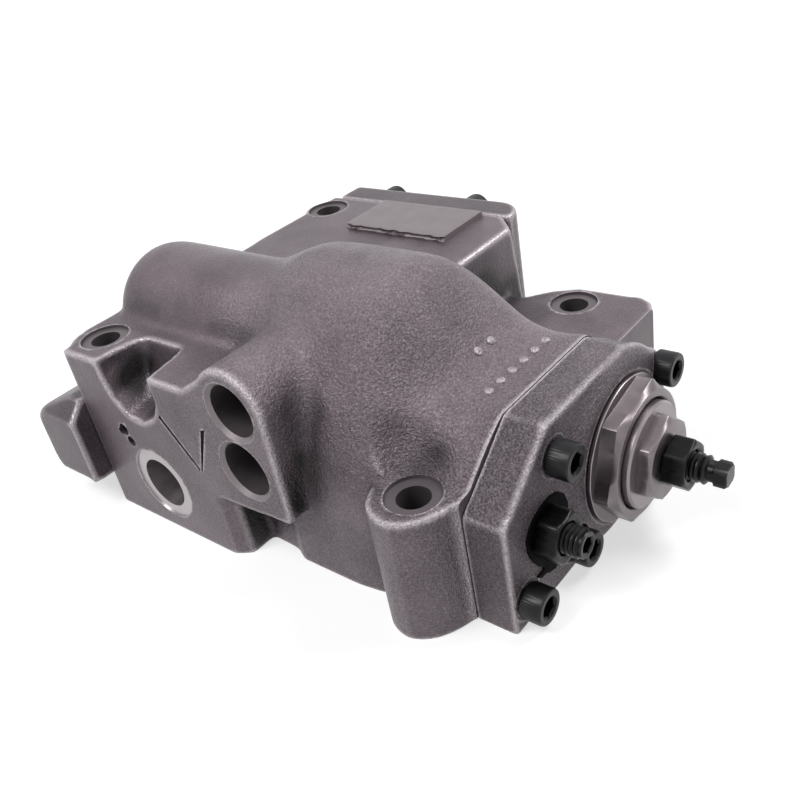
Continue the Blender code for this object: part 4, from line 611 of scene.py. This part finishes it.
for x, y in [(x, y) for x, row in pipLook["rows"].items() for y in row]:
    spot, slope = surface.ray_cast(at(x, y, 90), Vector((0, 0, -1)))[:2]    # set on the casting's own surface
    bpy.ops.mesh.primitive_uv_sphere_add(segments=20, ring_count=10, radius=pipLook["radius"] * mm)
    pip = bpy.context.object
    pip.scale.z = pipLook["flatness"]
    pip.rotation_euler = slope.to_track_quat("Z", "Y").to_euler()
    pip.location = spot
    pips.append(bakePlace(pip))
foundryPips = joinPieces(pips, "foundryPips")
present(smoothShade(foundryPips, 60), "casing", [], sandCastIron)

print("stage: covers")
covers = {
    "grainSize": 0.75,            # voxel, millimetres
    "fill": 0.6,                  # how much wider a plug is than its hole
    "adjusterRounds": 8, "pilotRounds": 26, "rearRounds": 7,   # smoothing of each
}


def castCover(piece, stock, rounds, weightAt=everywhere):   # a rough casting of a cover with its holes filled
    piece = joinPieces([piece] + stock, piece.name)
    applyModifier(piece, "REMESH", mode="VOXEL", voxel_size=covers["grainSize"] * mm)
    smoothWhere(piece, weightAt, rounds)
    coat(piece, coverCastIron)
    return piece


coverFace, bossFace, coverBack = 147.0, 148.5, 135.3
bored = [("X", compLine, coverBack - 4, bossFace, 15.3), ("X", pilotLine, coverBack - 4, coverFace, 4.3)]
bored += [("X", centre, coverBack - 4, coverFace, 3.3) for centre in coverScrews]
adjusterCover = copyNode("adjuster_cover", "adjusterCoverCasting")
behind = [(15.5, -4), (15.5, 34), (36, 50), (76, 50), (88, 43), (95, 38.5), (99.5, 33), (99.5, -4)]
below = [(15.5, -4), (15.5, 6), (99.5, 6), (99.5, -4)]
beside = [(14.4, -4), (14.4, 33.4), (17.0, 35.6), (17.0, -4)]
boss = [(coverFace - 2, 0), (coverFace - 2, 28.6), (coverFace + 0.1, 28.4), (148.4, 25.4), (148.7, 24.0),
        (148.7, 0)]
stock = [slab("stock", outline, "X", coverBack - 4, end)
         for outline, end in ((behind, coverBack + 4), (below, coverFace), (beside, coverFace))]
stock += plugs(bored, covers["fill"])
stock += [turned("bossStock", boss, compLine)]
adjusterCover = castCover(adjusterCover, stock, covers["adjusterRounds"])
cutAway(adjusterCover, [box((100, -20, -20), (coverBack, 150, 90))], spotFacedIron)
cutAway(adjusterCover, [box((100, -20, -20), (190, 150, 0))], coverCastIron)
seats = [rod("X", centre, coverFace - 0.1, coverFace + 8, 5.6, 40) for centre in coverScrews]
cutAway(adjusterCover, seats, coverCastIron)
cutAway(adjusterCover, [rod("X", compLine, bossFace - 0.05, bossFace + 4, 21.7, 64)], spotFacedIron)
cutAway(adjusterCover, [rod("X", centre, coverBack - 2, coverFace + 4, radius, 40)
                        for axis, centre, start, end, radius in bored], millCutIron)
# painted shade in the cover's recesses, from how shut in each point is
present(paintRecessShade(smoothShade(adjusterCover)), "casing", ["adjuster_cover"])

pilotLeft = -22.3
stock = plugs([("X", centre, pilotLeft + 0.3, -0.3, 3.3) for centre in pilotScrews], covers["fill"])
stock += plugs([("X", centre, pilotLeft, pilotLeft + 7.0, 5.3) for centre in pilotScrews], covers["fill"])
pilotCover = castCover(copyNode("pilot_cover", "pilotCoverCasting"), stock, covers["pilotRounds"],
                       lambda x, y, z: 1 - ramp(x, -4, -1.5))               # its joint face stays crisp
seats = [rod("X", centre, pilotLeft - 2, pilotLeft + 6.6, 5.3, 40) for centre in pilotScrews]
cutAway(pilotCover, seats, spotFacedIron)
cutAway(pilotCover, [rod("X", centre, pilotLeft - 2, 2, 3.3, 32) for centre in pilotScrews], millCutIron)
# painted shade in the cover's recesses, from how shut in each point is
present(paintRecessShade(smoothShade(pilotCover)), "casing", ["pilot_cover"])

rearFace = backY + 12.0
stock = plugs([("Y", centre, backY + 0.3, rearFace, 3.3) for centre in rearScrews], covers["fill"])
rearCover = castCover(copyNode("rear_cover", "rearCoverCasting"), stock, covers["rearRounds"])
cutAway(rearCover, [rod("Y", centre, backY - 2, rearFace + 2, 3.3, 32) for centre in rearScrews], millCutIron)
present(smoothShade(rearCover), "casing", ["rear_cover"])

print("stage: cap screws")
capScrew = {"headRadius": 5.0, "headHeight": 6.0, "shankRadius": 3.0, "socketFlats": 5.0, "socketDepth": 3.0,
            "chamfer": 0.5, "knurl": 0.08, "knurls": 48, "pitch": 1.0, "threadDepth": 0.35}


def hexRing(flats, turn):                # how far a hexagon's flat is at each angle
    return flats / 2 / math.cos((turn + math.pi / 6) % (math.pi / 3) - math.pi / 6)


def threadRows(start, end, radius, pitch, depth):   # rings in place of a helix
    rows = []
    count = int((end - start) / pitch)
    for i in range(count):
        base = start + i * pitch
        rows += [(base, radius - depth), (base + pitch * 0.4, radius), (base + pitch * 0.6, radius)]
    rows.append((start + count * pitch, radius - depth))
    return rows


def makeCapScrew(shank):                 # along +Z, origin under the head
    look = capScrew
    top, head, edge = look["headHeight"], look["headRadius"], look["chamfer"]
    socket, floor = look["socketFlats"] / math.sqrt(3), top - look["socketDepth"]
    rows = [(-shank, 0), (-shank, look["shankRadius"] - 0.5)]
    rows += threadRows(-shank + 0.5, -0.6, look["shankRadius"], look["pitch"], look["threadDepth"])
    rows += [(0, look["shankRadius"] - 0.2), (0, head - 0.2), (0.2, head), (top - edge - 0.3, head),
             (top - edge * 0.4, head - edge * 0.35), (top, head - edge), (top, socket + 0.35),
             (top - 0.35, socket), (top - 0.7, socket), (floor, socket), (floor - 0.9, 0)]
    piece = turned("capScrew", rows, (0, 0), "Z", 96)
    for vertex in piece.data.vertices:
        x, y, z = drawn(vertex.co)
        radius, angle = math.hypot(x, y), math.atan2(y, x)
        if radius > head - 0.02 and 0.15 < z < top - edge:      # knurled side
            shrink = 1 - look["knurl"] / head * (0.5 + 0.5 * math.cos(look["knurls"] * angle))
        elif 0.5 < radius < look["socketFlats"] and floor - 0.1 < z < top - 0.5:
            shrink = hexRing(look["socketFlats"], angle) / radius
        else:
            continue
        vertex.co.x += x * (shrink - 1) * mm
        vertex.co.y += y * (shrink - 1) * mm
    return piece


def setAlong(master, name, direction, spot, turn):   # a copy of a screw, turned and put in its hole
    piece = bpy.data.objects.new(name, master.data.copy())
    bpy.context.scene.collection.objects.link(piece)
    swing = {"X": Matrix.Rotation(math.pi / 2, 4, "Y"), "-X": Matrix.Rotation(-math.pi / 2, 4, "Y"),
             "Y": Matrix.Rotation(-math.pi / 2, 4, "X")}[direction]
    piece.data.transform(Matrix.Translation(corner))
    piece.data.transform(Matrix.Translation(at(*spot)) @ swing @ Matrix.Rotation(turn, 4, "Z"))
    piece.data.name = name
    return piece


# piece, node, shank, direction, the head's seat, holes, and how far each is turned from the last
screwSets = (("coverScrew", "cover_screw", 21.7, "X", coverFace + 0.3, coverScrews, 0.4),
             ("rearCoverScrew", "rear_cover_screw", 21.7, "Y", rearFace + 0.3, rearScrews, 0.7),
             ("pilotCoverScrew", "pilot_cover_screw", 25.4, "-X", pilotLeft + 6.3, pilotScrews, 0.5))
for name, node, shank, direction, seat, centres, twist in screwSets:
    master = makeCapScrew(shank)
    for number, (a, b) in enumerate(centres, 1):
        spot = (a, seat, b) if direction == "Y" else (seat, a, b)
        screw = setAlong(master, "%s%d" % (name, number), direction, spot, twist * number)
        present(smoothShade(screw, 30), "casing", ["%s_%d" % (node, number)], blackOxide)
    bpy.data.objects.remove(master)

print("stage: adjusters")
adjuster = {"threadDepth": 0.45, "stemPitch": 1.25, "nutCone": 0.577, "smallNutFlats": 13.0, "smallBore": 4.3,
            "tipFlats": 5.2, "flowSocket": 4.0, "edge": 0.3, "ringEdge": 0.25}


def pull(vertex, y, z, share):           # moves a point in or out, y and z millimetres off its piece's axis
    vertex.co.y += y * (share - 1) * mm
    vertex.co.z += z * (share - 1) * mm


def hexNut(name, flats, start, end, bore, centre, turn, collar=0.0, collarLength=0.0, bothEnds=False):
    corners = flats / math.sqrt(3)
    drop = (corners - flats / 2) * adjuster["nutCone"]
    rows = [(start, bore), (start, flats / 2 - 0.2)]
    if collar:
        rows = [(start, bore), (start, collar - 0.15), (start + 0.15, collar),
                (start + collarLength - 0.15, collar), (start + collarLength, collar - 0.15),
                (start + collarLength + 0.01, corners)]
    elif bothEnds:
        rows += [(start + drop, corners)]
    else:
        rows += [(start, corners)]
    rows += [(end - drop, corners), (end, flats / 2 - 0.1), (end, bore + 0.6), (end - 0.6, bore)]
    rows.append(rows[0])
    piece = turned(name, rows, centre, "X", 96)
    for vertex in piece.data.vertices:
        x, y, z = drawn(vertex.co)
        y, z = y - centre[0], z - centre[1]
        radius, angle = math.hypot(y, z), math.atan2(z, y)
        limit = hexRing(flats, angle - turn - math.pi / 6)
        if radius > limit + 0.001 and not (collar and x < start + collarLength + 0.005):
            pull(vertex, y, z, limit / radius)
    return piece


ringNut = hexNut("ringNut", 36.0, 148.8, 155.6, 15.3, compLine, math.radians(10), 21.0, 1.0)
bevelEdges(ringNut, adjuster["ringEdge"])
present(smoothShade(ringNut, 25), "lock_nut", ["lock_nut"], zincPlate)

rows = [(133.0, 11.8), (133.0, 14.6), (133.4, 15.0)] + threadRows(133.6, 155.0, 15.0, 1.5, 0.5)
rows += [(155.4, 15.0), (156.8, 15.0), (157.4, 14.4), (157.4, 4.3), (149.0, 4.3), (149.0, 11.8), (133.0, 11.8)]
screwBody = turned("adjustingScrewBody", rows, compLine)
screwHex = hexNut("adjustingScrewHex", 22.0, 157.0, 161.6, adjuster["smallBore"], compLine, math.radians(20))
bevelEdges(screwHex, adjuster["edge"])
screwBody = joinPieces([screwBody, screwHex], "adjustingScrewBody")
present(smoothShade(screwBody, 25), "adjusting_screw", ["adjusting_screw"], zincPlate)

flats, bore = adjuster["smallNutFlats"], adjuster["smallBore"]
stemNut = hexNut("stemLockNut", flats, 161.9, 168.4, bore, compLine, math.radians(15), bothEnds=True)
bevelEdges(stemNut, adjuster["edge"])
present(smoothShade(stemNut, 25), "stem_lock_nut", ["stem_lock_nut"], blackOxide)
rows = [(146.2, 0), (146.2, 11.0), (146.4, 11.2), (149.2, 11.2), (149.2, 4.0)]
rows += threadRows(149.4, 171.4, 4.0, adjuster["stemPitch"], adjuster["threadDepth"])
rows += [(171.9, 4.0), (172.4, 3.4), (172.6, 2.9), (174.0, 2.9), (174.4, 3.65), (177.3, 3.65), (177.9, 3.0),
         (177.9, 0)]
stem = turned("adjustingStem", rows, compLine, "X", 48)
for vertex in stem.data.vertices:        # the tip is squared for a spanner
    x, y, z = drawn(vertex.co)
    y, z = y - compLine[0], z - compLine[1]
    radius, half = math.hypot(y, z), adjuster["tipFlats"] / 2
    if x > 173.9 and radius > half:
        angle = (math.atan2(z, y) + math.pi / 4) % (math.pi / 2) - math.pi / 4
        pull(vertex, y, z, min(radius, half / math.cos(angle)) / radius)
present(smoothShade(stem, 30), "adjusting_stem", ["adjusting_stem"], blackOxide)

flowNut = hexNut("flowLockNut", flats, 147.3, 153.8, bore, pilotLine, math.radians(5), bothEnds=True)
bevelEdges(flowNut, adjuster["edge"])
present(smoothShade(flowNut, 25), "flow_lock_nut", ["flow_lock_nut"], blackOxide)
rows = [(135.0, 0), (135.0, 3.5)] + threadRows(135.2, 158.3, 4.0, adjuster["stemPitch"], adjuster["threadDepth"])
rows += [(158.4, 3.6), (158.8, 3.4), (158.8, 2.6), (158.5, 2.31), (155.8, 2.31), (155.0, 0)]
flowScrew = turned("flowSetScrew", rows, pilotLine, "X", 48)
for vertex in flowScrew.data.vertices:   # its hexagon socket
    x, y, z = drawn(vertex.co)
    y, z = y - pilotLine[0], z - pilotLine[1]
    radius = math.hypot(y, z)
    if 155.7 < x < 158.6 and 0.5 < radius < 2.4:
        pull(vertex, y, z, hexRing(adjuster["flowSocket"], math.atan2(z, y)) / radius)
present(smoothShade(flowScrew, 30), "flow_set_screw", ["flow_set_screw"], blackOxide)

print("stage: tamper paint")
dab = {"outline": ((22.2, 24.6), (23.8, 27.4), (26.6, 29.3), (30.2, 30.2), (34.0, 30.3), (37.6, 29.2), (40.6, 26.4),
                   (42.0, 22.4), (41.4, 17.6), (39.4, 13.0), (36.4, 9.0), (33.8, 6.6), (31.2, 7.4), (28.9, 8.7),
                   (26.9, 8.8), (24.6, 10.9), (26.8, 10.7), (28.4, 11.1), (26.2, 13.4), (24.0, 16.6), (22.4, 20.4)),
       "height": 0.45, "sink": 0.05, "grainSize": 0.22, "rounds": 10}
smear = slab("tamperPaintDab", dab["outline"], "X", coverFace - dab["sink"], coverFace + dab["height"])
applyModifier(smear, "REMESH", mode="VOXEL", voxel_size=dab["grainSize"] * mm)
smoothWhere(smear, everywhere, dab["rounds"])
cutAway(smear, [rod("X", pilotLine, 140, 150, 4.6, 32)])
present(smoothShade(smear, 60), "casing", [], tamperPaint)

print("stage: springs")
# each spring's moving body, its moving end, its still end and its line
coils = {"outer_spring": ("compensator", 112.5, 133.0, compLine),
         "inner_spring": ("compensator", 112.5, 146.0, compLine),
         "pilot_spring": ("pilot", 112.5, 129.5, pilotLine), "return_spring": ("spool", 20.5, 8.0, servoLine)}
for node, (body, near, far, line) in coils.items():
    coil = copyNode(node, node.replace("_s", "S") + "Coil")
    coil.data.materials.append(springSteel)
    smoothShade(coil, 60)
    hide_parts(node)
    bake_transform(coil)

print("stage: finishes of the plain nodes")
plain = {
    "set_spring": springSteel, "sleeve_snap_ring": springSteel,
    "fulcrum_plug": blackOxide, "servo_plug": blackOxide,
    "adjuster_seal": nitrileRubber, "flow_seal": nitrileRubber, "pilot_seal": nitrileRubber,
    "piston_case_seal": nitrileRubber, "mounting_face_seal_1": nitrileRubber, "mounting_face_seal_2": nitrileRubber,
}
groundNodes = (
    "check_ball", "check_seat", "check_stopper", "compensator_lever", "compensator_pin",
    "compensator_piston", "compensator_rod", "compensator_spring_seat", "feedback_lever",
    "pilot_adjusting_stem", "pilot_lever", "pilot_lever_pivot", "pilot_pin", "pilot_piston",
    "pilot_spring_seat", "piston_case", "sleeve", "spool", "spool_pin", "spool_spring_seat",
)
for node in groundNodes:
    plain[node] = groundSteel
for node, material in plain.items():
    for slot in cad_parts[node].material_slots:
        slot.material = material

print("stage: floor, light and camera")
studio = {
    "floor": 16.0,                # metres across
    "world": 0.085,               # light from all round
    "near": 0.62, "far": 0.97,    # the floor's glow near the part and away from it
    "fade": (0.18, 0.45),         # where it changes, metres from the part
}
bpy.ops.mesh.primitive_grid_add(x_subdivisions=4, y_subdivisions=4, size=studio["floor"])
floor = nameIt(bpy.context.object, "floor")
paper, shader = newFinish("whitePaper", "#c4c4c4", 0.0, 0.9)
tree = paper.node_tree
rays = addNode(paper, "ShaderNodeLightPath")
shown = reckon(paper, "MAXIMUM", rays.outputs["Is Camera Ray"], rays.outputs["Is Glossy Ray"])
apart = addNode(paper, "ShaderNodeVectorMath", {"Vector": place(paper)}, operation="LENGTH").outputs["Value"]
white = spread(paper, apart, *studio["fade"], studio["near"], studio["far"])   # shadow near the part, white beyond
glow = addNode(paper, "ShaderNodeEmission", {"Strength": reckon(paper, "MULTIPLY", shown, white)})
total = addNode(paper, "ShaderNodeAddShader", {0: shader.outputs["BSDF"], 1: glow.outputs["Emission"]})
tree.links.new(total.outputs["Shader"], tree.nodes["Material Output"].inputs["Surface"])
floor.data.materials.append(paper)

world = bpy.data.worlds.new("studio")
bpy.context.scene.world = world
world.use_nodes = True
background = world.node_tree.nodes["Background"]
background.inputs["Color"].default_value = (1, 1, 1, 1)
seen = addNode(world, "ShaderNodeLightPath").outputs
direct = reckon(world, "MAXIMUM", seen["Is Camera Ray"], seen["Is Glossy Ray"])
direct = reckon(world, "MAXIMUM", direct, seen["Is Transmission Ray"])
feed(world, background.inputs["Strength"], spread(world, direct, 0.0, 1.0, studio["world"], 1.0))


def softBox(name, power, size, spot, aim):
    light = bpy.data.lights.new(name, "AREA")
    light.energy = power
    light.shape = "RECTANGLE"
    light.size, light.size_y = size
    lamp = bpy.data.objects.new(name, light)
    bpy.context.scene.collection.objects.link(lamp)
    lamp.location = spot
    lamp.rotation_euler = (Vector(aim) - Vector(spot)).to_track_quat("-Z", "Y").to_euler()


# each light's power, size, place and aim
lamps = {"keyLight": (3.3, (0.3, 0.3), (-0.1, -0.38, 0.62), (0.05, -0.02, 0.03)),
         "backLight": (3.9, (0.5, 0.25), (0.36, 0.42, 0.6), (0.05, 0.0, 0.05)),
         "sideLight": (0.1, (0.4, 0.4), (0.65, -0.15, 0.3), (0.1, 0.0, 0.03))}
for name, (power, size, spot, aim) in lamps.items():
    softBox(name, power, size, spot, aim)

# fitted to the photograph
view = {"place": (0.2367, -0.1713, 0.1702), "right": (0.77167779, 0.61347676, -0.16780839),
        "down": (0.22178852, -0.50684354, -0.8330183), "forward": (-0.59608996, 0.60560374, -0.527182),
        "sensor": 36, "lens": 40.044}
lens = bpy.data.cameras.new("camera")
camera = bpy.data.objects.new("camera", lens)
bpy.context.scene.collection.objects.link(camera)
axes = Matrix((Vector(view["right"]), -Vector(view["down"]), -Vector(view["forward"])))
camera.matrix_world = Matrix.Translation(view["place"]) @ axes.transposed().to_4x4()
lens.sensor_width = view["sensor"]
lens.lens = view["lens"]
lens.clip_start = 0.01
bpy.context.scene.camera = camera
bpy.context.scene.view_settings.view_transform = "Standard"
